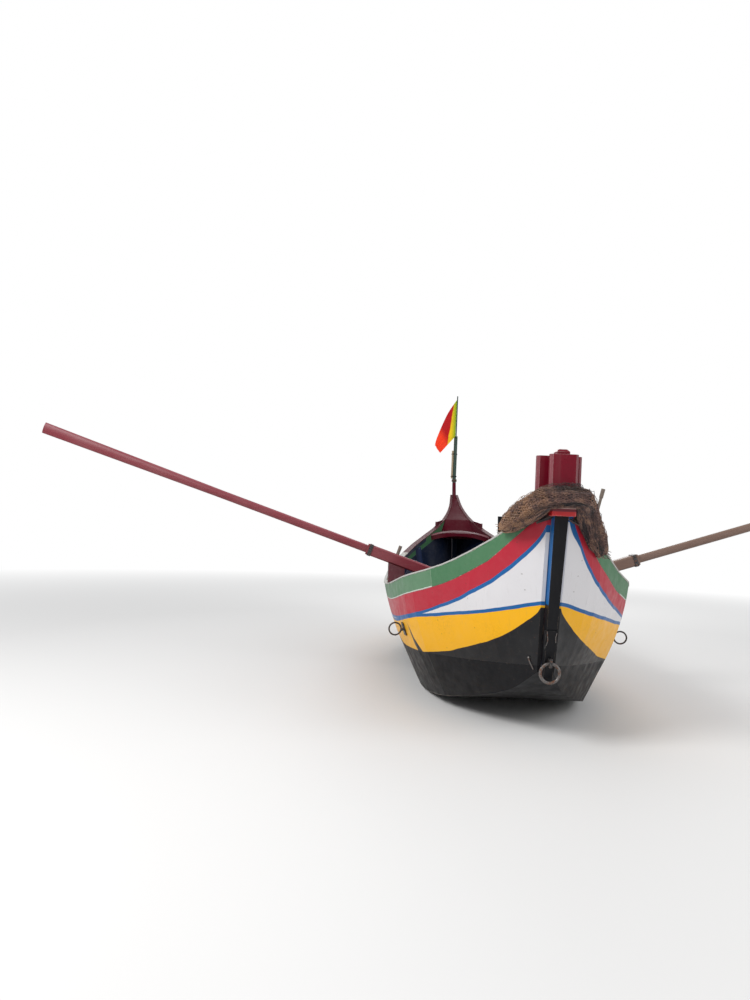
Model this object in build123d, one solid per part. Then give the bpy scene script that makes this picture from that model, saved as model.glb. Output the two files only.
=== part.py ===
from build123d import *
import os
from math import asin, atan, cos, degrees, hypot, pi, radians, sin, sqrt

# Beach-launched flat-bottomed rowing boat, smooth planked, with two long oars.
# Millimetres. X to starboard, Y towards the bow, Z up from the ground it stands on.

# Hull, driving sizes
LENGTH = 7400
BEAM = 2300
MID_DEPTH = 930
CHINE_WIDTH = 1970
CHINE_HEIGHT = 400
BOTTOM_WIDTH = 1580
PLANK_THICK = 30
BOTTOM_THICK = 38
SHEER_STRAKE_DEPTH = 155
STERN_STRAKE_DEPTH = 60
SEAM = 0.3
STEPS = 3
# frames on which each strake's lengths are butted, counted from the stern
SHEER_BUTTS = (0, 3, 7, 10)
SIDE_BUTTS = (1, 4, 8, 11)
BILGE_BUTTS = (0, 2, 6, 9)
BOTTOM_BUTTS = (1, 5, 8, 10)
CAP_BUTTS = (0, 2, 5, 9, 11)
INWALE_BUTTS = (1, 4, 8, 10)

# Stations between the posts, from stern to bow. Each lies on a plane that leans with the posts.
# foot: Y at ground level as a share of half the length; rake: Y gained per unit of height
# sheer, chine, floor: half-breadths as shares of those amidships; *_up: rise above amidships
# swell: how far the topside bows out past a straight line
STATIONS = [
    # foot, rake, sheer, sheer_up, chine, chine_up, floor, floor_up, swell
    (-0.808, -0.13, 0.357, 570, 0.275, 160, 0.253, 350, 70),
    (-0.692, -0.08, 0.630, 345, 0.569, 110, 0.570, 192, 45),
    (-0.546, -0.04, 0.887, 195, 0.863, 65, 0.835, 69, 28),
    (-0.338, -0.015, 0.978, 72, 0.970, 20, 0.962, 0.5, 18),
    (0.000, 0.00, 1.000, 0, 1.000, 0, 1.000, 0, 15),
    (0.311, 0.04, 0.913, 138, 0.914, 30, 0.873, 32, 16),
    (0.514, 0.12, 0.639, 412, 0.609, 100, 0.532, 186, 20),
    (0.670, 0.24, 0.193, 816, 0.239, 220, 0.203, 430, 20),
    (0.712, 0.306, 0.087, 1025, 0.145, 272, 0.134, 551, 10),
]

# Posts that close the hull, with the planes on which the plank ends land
STERN_FOOT = -3240
STERN_RAKE = -0.182
STERN_SHEER_Z = 1800
STERN_CHINE_Z = 600
STERN_FLOOR_Z = 548
STERNPOST_HEAD_HALF = 50
STERNPOST_FOOT_HALF = 33
STERNPOST_AFT = 90
STERNPOST_HEAD_Z = 1690
STEM_FOOT = 2760
STEM_RAKE = 0.36
STEM_SHEER_Z = 2154
STEM_CHINE_Z = 720
STEM_FLOOR_Z = 664
STEM_HEAD_HALF = 24
STEM_FOOT_HALF = 36
STEM_FORE = 80
STEM_HEAD_Z = 2370
POST_INNER = 60
POST_SWELL = 2
POST_TOE = 60

# Gunwale: capping on the strake edge and the inwale under it
CAP_THICK = 12
CAP_WIDTH = 78
CAP_LIP = 6
INWALE_DEPTH = 55
INWALE_THICK = 40

# Frames, floor and thwarts
FIT = 0.3
FRAME_THICK = 44
FRAME_DEPTH = 60
FRAME_SPACING = 420
FRAME_FIRST = -2520
FRAME_COUNT = 12
BOARD_THICK = 22
BOARD_WIDTH = 200
BOARD_GAP = 12
BOARD_COUNT = 5
BOARD_AFT = -1700
BOARD_FORE = 1400
THWART_THICK = 36
THWART_WIDTH = 240
CLEAT_DEPTH = 70
CLEAT_THICK = 28
CLEAT_LENGTH = 560
# name, Y of the middle, height of the top
THWARTS = [
    ("thwart_aft", -1950, 800),
    ("thwart_middle", -300, 690),
    ("thwart_fore", 1150, 950),
]
BRACKET_BASE = 260
BRACKET_HEIGHT = 200
BRACKET_THICK = 40
BRACKET_HOLE = 48
BRACKET_X = -740

# Decks and the hood that closes the bow
DECK_THICK = 24
DECK_CAMBER = 90
DECK_HALF = 480
DECK_BEAM_THICK = 60
DECK_BEAM_DEPTH = 62
DECK_LIP = 10
FOREDECK_Y = 2490
FOREDECK_EDGE_Z = 1487
HOOD_Y = 2790
HOOD_FLOOR_Z = 1450
HOOD_RAMP = 115
HOOD_BROW_Z = 1760
AFTDECK_Y = -3020
AFTDECK_EDGE_Z = 1330
CHEEK_AFT = 2660
CHEEK_FORE = 2850
CHEEK_HEIGHT = 66
CHEEK_TOE = 8
CHEEK_THICK = 28

# Stern head: cap board on the sternpost and the crossed mooring post on it
STERN_CAP_WIDTH = 170
STERN_CAP_LENGTH = 150
STERN_CAP_THICK = 55
STERN_CAP_ROUND = 18
HEAD_Y = -3570
HEAD_SIDE = 93
HEAD_TOP_Z = 2160
WING_TOP_Z = 2120
WING_THICK = 50
WING_CHAMFER = 18
AFT_WING_WIDTH = 198
AFT_WING_BASE_Z = 1800
FORE_WING_WIDTH = 320
FORE_WING_BASE_Z = 1824

# Oars: each swings about a pin that leans with its wedge
OAR_Y = -1290
PIN_X = 1085
OAR_SEAT_Z = 1200
OAR_SLOPE = 0.33
OAR_TIP_REACH = 3780
OAR_INNER_REACH = 630
LOOM_REACH = 310
LOOM_WIDTH = 120
LOOM_DEPTH = 110
LOOM_CHAMFER = 14
SHAFT_DIA = 80
BLADE_LENGTH = 1900
BLADE_WIDTH = 112
BLADE_THICK = 34
BAND_LENGTH = 36
BAND_THICK = 5
PIN_DIA = 34
PIN_CLEAR = 3
PIN_ABOVE = 90
WEDGE_LENGTH = 260
WEDGE_INBOARD = 105
WEDGE_OUTBOARD = 55

# Hauling rings: an eye on each quarter and one on the sternpost
LUG_Y = -1750
LUG_Z = 620
LUG_WIDTH = 90
LUG_HEIGHT = 120
LUG_THICK = 12
LUG_SEAT = 0.7
SIDE_RING_DIA = 130
SIDE_RING_WIRE = 15
SIDE_RING_GAP = 10
SIDE_RING_RISE = 28
SHANK_DIA = 24
STERN_EYE_Z = 640
STERN_EYE_REACH = 58
STERN_EYE_HEIGHT = 64
STERN_EYE_THICK = 20
STERN_EYE_HOLE = 32
STERN_RING_DIA = 160
STERN_RING_WIRE = 22
STRAP_Z = 800
STRAP_HEIGHT = 150
STRAP_THICK = 8
STRAP_LENGTH = 40

# Posts, poles and the flag
GUNWALE_POST_Y = 2290
GUNWALE_POST_TOP_Z = 1810
GUNWALE_POST_DIA = 66
GUNWALE_POST_FOOT_DIA = 46
QUARTER_PEG_X = 289
QUARTER_PEG_Y = -3160
QUARTER_PEG_TOP_Z = 1922
QUARTER_PEG_DIA = 22
QUARTER_PEG_HEAD_DIA = 30
QUARTER_PEG_HEAD_LENGTH = 70
QUARTER_PEG_LEAN = 13
FLAGPOLE_DIA = 58
FLAGPOLE_HEIGHT = 770
SPLINT_WIDTH = 48
SPLINT_THICK = 24
SPLINT_LENGTH = 460
SPLINT_RISE = 70
FLAGSTICK_DIA = 18
FLAGSTICK_BASE_Z = 2740
FLAGSTICK_TOP_Z = 3800
FLAG_THICK = 6
FLAG_TOP_Z = 3740
FLAG_FOOT_Z = 3140
# lower edge and leech of the hanging flag: how far to port of the stick, height below its top
FLAG_CORNERS = [(95, 715), (240, 885), (290, 905), (340, 765), (300, 620), (155, 250)]

# Chafing net bundled round the stern head and down over both quarters, from port to starboard:
# X, Y, Z of its middle and its radius
NET_STATIONS = [
    (-345, -3330, 1600, 52),
    (-300, -3400, 1632, 86),
    (-225, -3560, 1712, 105),
    (-130, -3695, 1800, 94),
    (0, -3745, 1820, 86),
    (120, -3700, 1812, 86),
    (182, -3560, 1752, 90),
    (255, -3420, 1640, 95),
    (330, -3310, 1532, 95),
    (395, -3215, 1452, 74),
]
NET_FLATTEN = 0.92
NET_SIDES = 8
NET_CLEAR = 0.5


def meet(p, d, q, e):
    """Point where the line through p along d crosses the line through q along e."""
    cross = d[0] * e[1] - d[1] * e[0]
    t = ((q[0] - p[0]) * e[1] - (q[1] - p[1]) * e[0]) / cross
    return (p[0] + t * d[0], p[1] + t * d[1])


def unit(p, q):
    """Direction from p to q."""
    length = hypot(q[0] - p[0], q[1] - p[1])
    return ((q[0] - p[0]) / length, (q[1] - p[1]) / length)


def shift(p, d, amount):
    """Point p moved along direction d."""
    return (p[0] + d[0] * amount, p[1] + d[1] * amount)


class Section:
    """Half a hull section: corners in (half-breadth, height) on a leaning plane."""

    def __init__(self, foot, rake, sheer, chine, floor, swell):
        self.foot = foot
        self.rake = rake
        self.sheer = sheer
        self.chine = chine
        self.floor = floor
        self.swell = swell
        up = unit(chine, sheer)
        out = (up[1], -up[0])
        self.chord = hypot(sheer[0] - chine[0], sheer[1] - chine[1])
        self.radius = (self.chord ** 2 / 4 + swell ** 2) / (2 * swell)
        self.sweep = asin(self.chord / 2 / self.radius)
        middle = ((sheer[0] + chine[0]) / 2, (sheer[1] + chine[1]) / 2)
        self.centre = shift(middle, out, swell - self.radius)
        self.out = out
        self.up = up

    def topside(self, share, inset=0.0):
        """Point on the topside arc, from chine (0) to sheer (1), set in by inset."""
        angle = (2 * share - 1) * self.sweep
        reach = self.radius - inset
        across = shift(self.centre, self.out, reach * cos(angle))
        return shift(across, self.up, reach * sin(angle))

    def level_inner(self, inset):
        """Inner corner of the top edge, level with the outer one."""
        near = self.topside(1, inset)
        return meet(near, unit(self.topside(0.98, inset), near), self.sheer, (1.0, 0.0))

    def breadth_at(self, z):
        """Half-breadth of the topside at height z."""
        return self.centre[0] + sqrt(self.radius**2 - (z - self.centre[1]) ** 2)

    def inner_chine(self, inset):
        """Inner corner at the chine, where the two offset planks meet."""
        near = self.topside(0, inset)
        along = unit(near, self.topside(0.02, inset))
        bilge = unit(self.floor, self.chine)
        inward = (-bilge[1], bilge[0])
        return meet(near, along, shift(self.floor, inward, inset), bilge)

    def inner_floor(self, inset, rise):
        """Inner corner at the edge of the flat bottom."""
        bilge = unit(self.floor, self.chine)
        inward = (-bilge[1], bilge[0])
        level = (self.floor[0], self.floor[1] + rise)
        return meet(level, (1.0, 0.0), shift(self.floor, inward, inset), bilge)

    def place(self, point, side=1):
        """Point in space on this section's plane."""
        return Vector(side * point[0], self.foot + self.rake * point[1], point[1])


def slopes(xs, ys):
    """Slopes of a smooth curve through the points that never overshoots them."""
    steps = [(ys[i + 1] - ys[i]) / (xs[i + 1] - xs[i]) for i in range(len(xs) - 1)]
    result = [steps[0]]
    for before, after in zip(steps, steps[1:]):
        result.append(2 * before * after / (before + after) if before * after > 0 else 0.0)
    result.append(steps[-1])
    return result


def between(xs, ys, ms, index, share):
    """Height of the smooth curve at a share of the way from point index to the next."""
    width = xs[index + 1] - xs[index]
    rest = 1 - share
    return (
        ys[index] * (1 + 2 * share) * rest**2
        + ms[index] * width * share * rest**2
        + ys[index + 1] * share**2 * (3 - 2 * share)
        - ms[index + 1] * width * share**2 * rest
    )


def hull_rows():
    """Foot, rake, sheer, chine, floor and swell in millimetres for every drawn station."""
    rows = [
        (
            STERN_FOOT,
            STERN_RAKE,
            STERNPOST_HEAD_HALF + PLANK_THICK + 1,
            STERN_SHEER_Z,
            STERNPOST_FOOT_HALF + PLANK_THICK + 3,
            STERN_CHINE_Z,
            STERNPOST_FOOT_HALF + PLANK_THICK - 2,
            STERN_FLOOR_Z,
            POST_SWELL,
        )
    ]
    for foot, rake, sheer, sheer_up, chine, chine_up, floor, floor_up, swell in STATIONS:
        rows.append(
            (
                foot * LENGTH / 2,
                rake,
                sheer * BEAM / 2,
                MID_DEPTH + sheer_up,
                chine * CHINE_WIDTH / 2,
                CHINE_HEIGHT + chine_up,
                floor * BOTTOM_WIDTH / 2,
                floor_up,
                swell,
            )
        )
    rows.append(
        (
            STEM_FOOT,
            STEM_RAKE,
            STEM_HEAD_HALF + PLANK_THICK + 2,
            STEM_SHEER_Z,
            STEM_FOOT_HALF + PLANK_THICK + 3,
            STEM_CHINE_Z,
            STEM_FOOT_HALF + PLANK_THICK - 2,
            STEM_FLOOR_Z,
            POST_SWELL,
        )
    )
    return rows


def hull_sections():
    """Sections from the sternpost to the stem, with even steps between drawn stations."""
    columns = list(zip(*hull_rows()))
    feet = columns[0]
    curves = [(column, slopes(feet, column)) for column in columns]
    sections = []
    for index in range(len(feet) - 1):
        for step in range(STEPS):
            values = [between(feet, ys, ms, index, step / STEPS) for ys, ms in curves]
            sections.append(make_section(values))
    sections.append(make_section([column[-1] for column in columns]))
    return sections


def make_section(values):
    """Section from one row of values."""
    foot, rake, sheer_b, sheer_z, chine_b, chine_z, floor_b, floor_z, swell = values
    return Section(foot, rake, (sheer_b, sheer_z), (chine_b, chine_z), (floor_b, floor_z), swell)


def framed_sections():
    """Sections between the narrow ends, where frames and thwarts fit."""
    aft = STATIONS[0][0] * LENGTH / 2
    fore = STATIONS[-2][0] * LENGTH / 2
    return [section for section in SECTIONS if aft - 1 < section.foot < fore + 1]


SECTIONS = hull_sections()
FRAMED = framed_sections()


def outline(section, side, corners, bent):
    """Closed wire through corners; a side listed in bent passes through its own middle point."""
    points = [section.place(corner, side) for corner in corners]
    edges = []
    for index, start in enumerate(points):
        end = points[(index + 1) % len(points)]
        if index in bent:
            edges.append(Edge.make_three_point_arc(start, section.place(bent[index], side), end))
        else:
            edges.append(Edge.make_line(start, end))
    return Wire(edges)


def seam_share(section):
    """Share of the topside arc at the seam under the sheer strake, which narrows at the stern."""
    full_foot = STATIONS[0][0] * LENGTH / 2
    share = min((section.foot - STERN_FOOT) / (full_foot - STERN_FOOT), 1.0)
    depth = STERN_STRAKE_DEPTH + share * (SHEER_STRAKE_DEPTH - STERN_STRAKE_DEPTH)
    return 1 - depth / section.chord


def block(x0, x1, y0, y1, z0, z1):
    """Box from its two corners."""
    return Pos((x0 + x1) / 2, (y0 + y1) / 2, (z0 + z1) / 2) * Box(x1 - x0, y1 - y0, z1 - z0)


def in_lengths(strake, butts):
    """Strake sawn into lengths that meet on the numbered frames."""
    for index in butts:
        y = FRAME_FIRST + index * FRAME_SPACING
        strake -= block(-BEAM, BEAM, y - SEAM / 2, y + SEAM / 2, -BEAM, 2 * BEAM)
    return strake


def side_planking(side):
    """Planking from the chine to the seam under the sheer strake."""
    wires = []
    for section in SECTIONS:
        top = seam_share(section)
        corners = [
            shift(section.chine, section.up, SEAM),
            section.topside(top),
            section.topside(top, PLANK_THICK),
            shift(section.inner_chine(PLANK_THICK), section.up, SEAM),
        ]
        bent = {0: section.topside(top / 2), 2: section.topside(top / 2, PLANK_THICK)}
        wires.append(outline(section, side, corners, bent))
    return in_lengths(Solid.make_loft(wires, ruled=True), SIDE_BUTTS)


def sheer_strake(side):
    """Top strake, from its seam to the sheer."""
    wires = []
    for section in SECTIONS:
        low = seam_share(section)
        middle = (low + 1) / 2
        corners = [
            shift(section.topside(low), section.up, SEAM),
            section.topside(1),
            section.level_inner(PLANK_THICK),
            shift(section.topside(low, PLANK_THICK), section.up, SEAM),
        ]
        bent = {0: section.topside(middle), 2: section.topside(middle, PLANK_THICK)}
        wires.append(outline(section, side, corners, bent))
    return in_lengths(Solid.make_loft(wires, ruled=True), SHEER_BUTTS)


def bilge_plank(side):
    """Slanting plank between the chine and the edge of the flat bottom."""
    wires = []
    for section in SECTIONS:
        corners = [
            section.floor,
            section.chine,
            section.inner_chine(PLANK_THICK),
            section.inner_floor(PLANK_THICK, BOTTOM_THICK),
        ]
        wires.append(outline(section, side, corners, {}))
    return in_lengths(Solid.make_loft(wires, ruled=True), BILGE_BUTTS)


def bottom_planking():
    """Flat bottom with its rocker."""
    wires = []
    for section in SECTIONS:
        low = shift(section.floor, (1, 0), -SEAM)
        high = shift(section.inner_floor(PLANK_THICK, BOTTOM_THICK), (1, 0), -SEAM)
        points = [
            section.place(low),
            section.place(high),
            section.place(high, -1),
            section.place(low, -1),
        ]
        wires.append(Wire.make_polygon(points, close=True))
    return in_lengths(Solid.make_loft(wires, ruled=True), BOTTOM_BUTTS)


def hull_inside(inset, rise, sections):
    """Space inside the planking, set in by inset at the sides and rise at the bottom."""
    wires = []
    for section in sections:
        corners = [
            section.level_inner(inset),
            section.inner_chine(inset),
            section.inner_floor(inset, rise),
        ]
        arc_middle = section.topside(0.5, inset)
        right = [section.place(corner) for corner in corners]
        left = [section.place(corner, -1) for corner in corners]
        edges = [
            Edge.make_three_point_arc(right[0], section.place(arc_middle), right[1]),
            Edge.make_line(right[1], right[2]),
            Edge.make_line(right[2], left[2]),
            Edge.make_line(left[2], left[1]),
            Edge.make_three_point_arc(left[1], section.place(arc_middle, -1), left[0]),
            Edge.make_line(left[0], right[0]),
        ]
        wires.append(Wire(edges))
    return Solid.make_loft(wires, ruled=True)


def prism_x(points, half):
    """Solid from an outline in Y and Z, as thick as twice half, centred on X = 0."""
    wire = Wire.make_polygon([Vector(-half, y, z) for y, z in points], close=True)
    return Solid.extrude(Face(wire), Vector(2 * half, 0, 0))


def prism_y(points, start, end):
    """Solid from an outline in X and Z, from start to end along Y."""
    wire = Wire.make_polygon([Vector(x, start, z) for x, z in points], close=True)
    return Solid.extrude(Face(wire), Vector(0, end - start, 0))


def point_at(line, y):
    """Point at Y on a line of points that runs from aft to fore."""
    for low, high in zip(line, line[1:]):
        if low.Y <= y <= high.Y:
            return low + (high - low) * ((y - low.Y) / (high.Y - low.Y))
    raise ValueError("outside the hull")


def sheer_at(y):
    """Half-breadth and height of the strake's top edge at Y."""
    edge = point_at([section.place(section.sheer) for section in SECTIONS], y)
    return (edge.X, edge.Z)


def capping_line(aft, fore):
    """Points on top of the capping, over the hull's skin, from one Y to another."""
    tops = []
    for section in SECTIONS:
        b, z = section.sheer
        tops.append(section.place((b, z + FIT + CAP_THICK)))
    between_ends = [top for top in tops if aft < top.Y < fore]
    return [point_at(tops, aft)] + between_ends + [point_at(tops, fore)]


def skin_point(y, z):
    """Half-breadth of the topside at Y and height z."""
    points = [(section.foot + section.rake * z, section.breadth_at(z)) for section in SECTIONS]
    for low, high in zip(points, points[1:]):
        if low[0] <= y <= high[0]:
            return low[1] + (y - low[0]) / (high[0] - low[0]) * (high[1] - low[1])
    raise ValueError("outside the hull")


def skin_plane(y, z):
    """Plane on the starboard topside: X along the boat, Z outwards."""
    step = 60
    middle = Vector(skin_point(y, z), y, z)
    along = Vector(skin_point(y + step, z) - skin_point(y - step, z), 2 * step, 0)
    upward = Vector(skin_point(y, z + step) - skin_point(y, z - step), 0, 2 * step)
    return Plane(middle, x_dir=along, z_dir=along.cross(upward))


def gunwale_cap(side):
    """Thin capping over the strake edge, wide enough for the inwale where the hull is open."""
    wires = []
    for section in SECTIONS:
        b, z = section.sheer
        narrow = PLANK_THICK + CAP_LIP
        open_share = min(max((b - 2 * CAP_WIDTH) / (4 * CAP_WIDTH), 0.0), 1.0)
        width = narrow + open_share * (CAP_WIDTH - narrow)
        low = z + FIT
        high = z + FIT + CAP_THICK
        outer = b + CAP_LIP
        corners = [(outer, low), (outer, high), (outer - width, high), (outer - width, low)]
        wires.append(outline(section, side, corners, {}))
    return in_lengths(Solid.make_loft(wires, ruled=True), CAP_BUTTS)


def inwale(side):
    """Rail inside the strake, from deck to deck."""
    wires = []
    for section in SECTIONS:
        if not AFTDECK_Y + DECK_BEAM_THICK < section.place(section.sheer).Y < FOREDECK_Y:
            continue
        low = 1 - INWALE_DEPTH / section.chord
        near = PLANK_THICK + FIT
        far = near + INWALE_THICK
        corners = [
            section.level_inner(near),
            section.level_inner(far),
            section.topside(low, far),
            section.topside(low, near),
        ]
        wires.append(outline(section, side, corners, {}))
    return in_lengths(Solid.make_loft(wires, ruled=True), INWALE_BUTTS)


def below_sheer(drop):
    """Everything that lies more than drop under the sheer."""
    edge = []
    for section in SECTIONS:
        point = section.place(section.sheer)
        edge.append((point.Y, point.Z - drop))
    outline_points = edge + [(edge[-1][0], -BOTTOM_THICK), (edge[0][0], -BOTTOM_THICK)]
    return prism_x(outline_points, BEAM)


def floor_half_at(y):
    """Half-breadth of the flat bottom at Y."""
    for low, high in zip(SECTIONS, SECTIONS[1:]):
        if low.foot <= y <= high.foot:
            share = (y - low.foot) / (high.foot - low.foot)
            return low.floor[0] + share * (high.floor[0] - low.floor[0])
    raise ValueError("outside the hull")


def frames():
    """Floor timbers across the bottom and ribs up both sides, heads under the inwale."""
    outer = hull_inside(PLANK_THICK + FIT, BOTTOM_THICK + FIT, FRAMED)
    inner = hull_inside(PLANK_THICK + FRAME_DEPTH, BOTTOM_THICK + FRAME_DEPTH, FRAMED)
    lining = (outer - inner) & below_sheer(INWALE_DEPTH + 4 * FIT)
    timbers = []
    for index in range(FRAME_COUNT):
        y = FRAME_FIRST + index * FRAME_SPACING
        aft = y - FRAME_THICK / 2
        fore = y + FRAME_THICK / 2
        joint = floor_half_at(y) - FRAME_DEPTH
        timbers += (lining & block(-joint, joint, aft, fore, -BEAM, BEAM)).solids()
        for side in (-1, 1):
            near, far = sorted((side * (joint + FIT), side * BEAM))
            timbers += (lining & block(near, far, aft, fore, -BEAM, BEAM)).solids()
    return Compound(timbers)


def floor_boards():
    """Boards laid lengthwise on the frames, bent to the rocker."""
    pitch = BOARD_WIDTH + BOARD_GAP
    laid = [section for section in SECTIONS if BOARD_AFT < section.foot < BOARD_FORE]
    boards = []
    for index in range(BOARD_COUNT):
        left = (index - BOARD_COUNT / 2) * pitch + BOARD_GAP / 2
        right = left + BOARD_WIDTH
        wires = []
        for section in laid:
            low = section.floor[1] + BOTTOM_THICK + FRAME_DEPTH + FIT
            high = low + BOARD_THICK
            corners = [(left, low), (right, low), (right, high), (left, high)]
            wires.append(outline(section, 1, corners, {}))
        boards.append(Solid.make_loft(wires, ruled=True))
    return Compound(boards)


def thwart(y, top, inside):
    """Plank across the boat between the frames."""
    half = THWART_WIDTH / 2
    return inside & block(-BEAM, BEAM, y - half, y + half, top - THWART_THICK, top)


def thwart_cleats(outer):
    """Short risers on the frames under each end of every thwart."""
    far = PLANK_THICK + FRAME_DEPTH + FIT + CLEAT_THICK
    ring = outer - hull_inside(far, BOTTOM_THICK + FRAME_DEPTH + CLEAT_THICK, FRAMED)
    cleats = []
    half = CLEAT_LENGTH / 2
    for _, y, top in THWARTS:
        high = top - THWART_THICK - FIT
        slab = block(-BEAM, BEAM, y - half, y + half, high - CLEAT_DEPTH, high)
        cleats += (ring & slab).solids()
    return Compound(cleats)


def bracket():
    """Three-cornered upright with a hole, standing on the fore thwart by the port side."""
    _, y, top = THWARTS[2]
    half = BRACKET_BASE / 2
    base = top + FIT
    points = [
        (BRACKET_X - half, base),
        (BRACKET_X + half, base),
        (BRACKET_X + BRACKET_HOLE / 2, base + BRACKET_HEIGHT),
        (BRACKET_X - BRACKET_HOLE / 2, base + BRACKET_HEIGHT),
    ]
    plate = prism_y(points, y - BRACKET_THICK / 2, y + BRACKET_THICK / 2)
    bore = Pos(BRACKET_X, y, base + BRACKET_HEIGHT * 0.62) * Rot(90, 0, 0)
    return plate - bore * Cylinder(BRACKET_HOLE / 2, 2 * BRACKET_THICK)


def deck_arc(edge_z):
    """Radius of a cambered deck's surface and the height of its centre."""
    radius = (DECK_HALF**2 + DECK_CAMBER**2) / (2 * DECK_CAMBER)
    return (radius, edge_z + DECK_CAMBER - radius)


def camber_ring(edge_z, top, thick, start, end):
    """Curved layer of a cambered deck, top below the deck's surface, between two Y."""
    radius, centre_z = deck_arc(edge_z)
    length = end - start
    place = Pos(0, (start + end) / 2, centre_z) * Rot(90, 0, 0)
    return place * (Cylinder(radius - top, length) - Cylinder(radius - top - thick, length))


def deck(edge_z, start, end):
    """Cambered deck between two Y."""
    return camber_ring(edge_z, 0, DECK_THICK, start, end)


def deck_beam(edge_z, start):
    """Beam under a deck's free edge."""
    return camber_ring(edge_z, DECK_THICK + FIT, DECK_BEAM_DEPTH, start, start + DECK_BEAM_THICK)


def post_profile(foot, rake, reach, sign, toe_z, step_z, head_z):
    """Outline in Y and Z of a post: plank ends land on its back, its upper part goes inside."""

    def at(offset, z):
        return (foot + rake * z + sign * offset, z)

    return [
        at(reach, toe_z),
        at(FIT, toe_z),
        at(FIT, step_z),
        at(-POST_INNER, step_z),
        at(-POST_INNER, head_z),
        at(reach, head_z),
    ]


def tapered_post(points, foot_half, foot_z, head_half, head_z, top_z):
    """Post from its side outline, with sides that draw in towards the foot."""
    slope = (head_half - foot_half) / (head_z - foot_z)
    low = foot_z - 2 * POST_TOE
    half_low = foot_half - slope * (foot_z - low)
    half_top = head_half + slope * (top_z - head_z)
    faces = [(-half_low, low), (half_low, low), (half_top, top_z), (-half_top, top_z)]
    return prism_x(points, BEAM / 4) & prism_y(faces, -LENGTH, LENGTH)


def sternpost():
    """Post that closes the stern."""
    points = post_profile(
        STERN_FOOT,
        STERN_RAKE,
        STERNPOST_AFT,
        -1,
        STERN_FLOOR_Z - POST_TOE,
        STERN_CHINE_Z + POST_TOE / 2,
        STERNPOST_HEAD_Z,
    )
    return tapered_post(
        points,
        STERNPOST_FOOT_HALF,
        STERN_CHINE_Z,
        STERNPOST_HEAD_HALF,
        STERN_SHEER_Z,
        STERNPOST_HEAD_Z,
    )


def stem():
    """Tall raking post that closes the bow."""
    points = post_profile(
        STEM_FOOT,
        STEM_RAKE,
        STEM_FORE,
        1,
        STEM_FLOOR_Z - POST_TOE,
        STEM_CHINE_Z + POST_TOE / 2,
        STEM_HEAD_Z,
    )
    return tapered_post(
        points, STEM_FOOT_HALF, STEM_CHINE_Z, STEM_HEAD_HALF, STEM_SHEER_Z, STEM_HEAD_Z
    )


def bow_hood():
    """Closed top of the bow: a ramp off the foredeck, then level with the sheer to the stem."""
    top = STEM_HEAD_Z

    def stem_back(z):
        return STEM_FOOT + STEM_RAKE * z - POST_INNER - FIT

    points = [
        (HOOD_Y, HOOD_FLOOR_Z),
        (HOOD_Y, FOREDECK_EDGE_Z + DECK_CAMBER),
        (HOOD_Y + HOOD_RAMP, HOOD_BROW_Z),
        (HOOD_Y + HOOD_RAMP, top),
        (stem_back(top), top),
        (stem_back(HOOD_FLOOR_Z), HOOD_FLOOR_Z),
    ]
    return hull_inside(PLANK_THICK + FIT, BOTTOM_THICK + FIT, SECTIONS) & prism_x(points, BEAM / 2)


def bow_cheek(side):
    """Short raised board on the capping, dying out where the bow narrows."""
    wires = []
    for top in capping_line(CHEEK_AFT, CHEEK_FORE):
        b, y = top.X, top.Y
        low = top.Z + FIT
        fade = (y - CHEEK_AFT) / (CHEEK_FORE - CHEEK_AFT)
        high = low + CHEEK_HEIGHT + fade * (CHEEK_TOE - CHEEK_HEIGHT)
        points = [
            Vector(side * b, y, low),
            Vector(side * b, y, high),
            Vector(side * (b - CHEEK_THICK), y, high),
            Vector(side * (b - CHEEK_THICK), y, low),
        ]
        wires.append(Wire.make_polygon(points, close=True))
    return Solid.make_loft(wires, ruled=True)


def stern_cap():
    """Rounded board on the head of the sternpost."""
    fore = STERN_FOOT + STERN_RAKE * (STERNPOST_HEAD_Z + STERN_CAP_THICK + FIT) - FIT
    low = STERNPOST_HEAD_Z + FIT
    board = block(
        -STERN_CAP_WIDTH / 2,
        STERN_CAP_WIDTH / 2,
        fore - STERN_CAP_LENGTH,
        fore,
        low,
        low + STERN_CAP_THICK,
    )
    corners = board.edges().filter_by(Axis.Z).group_by(Axis.Y)[0]
    return fillet(corners, STERN_CAP_ROUND)


def head_core():
    """Square post that stands on the cap board."""
    low = STERNPOST_HEAD_Z + STERN_CAP_THICK + 2 * FIT
    half = HEAD_SIDE / 2
    post = block(-half, half, HEAD_Y - half, HEAD_Y + half, low, HEAD_TOP_Z)
    return chamfer(post.faces().sort_by(Axis.Z)[-1].edges(), WING_CHAMFER)


def head_wing(width, y0, y1, base_z):
    """Board fixed across the mooring post, its edges chamfered."""
    board = block(-width / 2, width / 2, y0, y1, base_z, WING_TOP_Z)
    aft = board.faces().sort_by(Axis.Y)[0]
    return chamfer(aft.edges().filter_by(Axis.Z), WING_CHAMFER)


def on_oar():
    """Placing of the starboard oar's frame: X outboard along it, Z along the pin, origin on its seat."""
    return Pos(PIN_X, OAR_Y, OAR_SEAT_Z) * Rot(0, -degrees(atan(OAR_SLOPE)), 0)


def mirrored(shape, side):
    """Shape for the starboard side, mirrored to port where side is -1."""
    return shape if side > 0 else mirror(shape, about=Plane.YZ)


def oar_loom(side):
    """Thick square inner part of the oar, bored for the pin."""
    bar = block(-OAR_INNER_REACH, LOOM_REACH, -LOOM_WIDTH / 2, LOOM_WIDTH / 2, 0, LOOM_DEPTH)
    bar = chamfer(bar.edges().filter_by(Axis.X), LOOM_CHAMFER)
    bar -= Cylinder(PIN_DIA / 2 + PIN_CLEAR, 4 * LOOM_DEPTH)
    return mirrored(on_oar() * bar, side)


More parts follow.
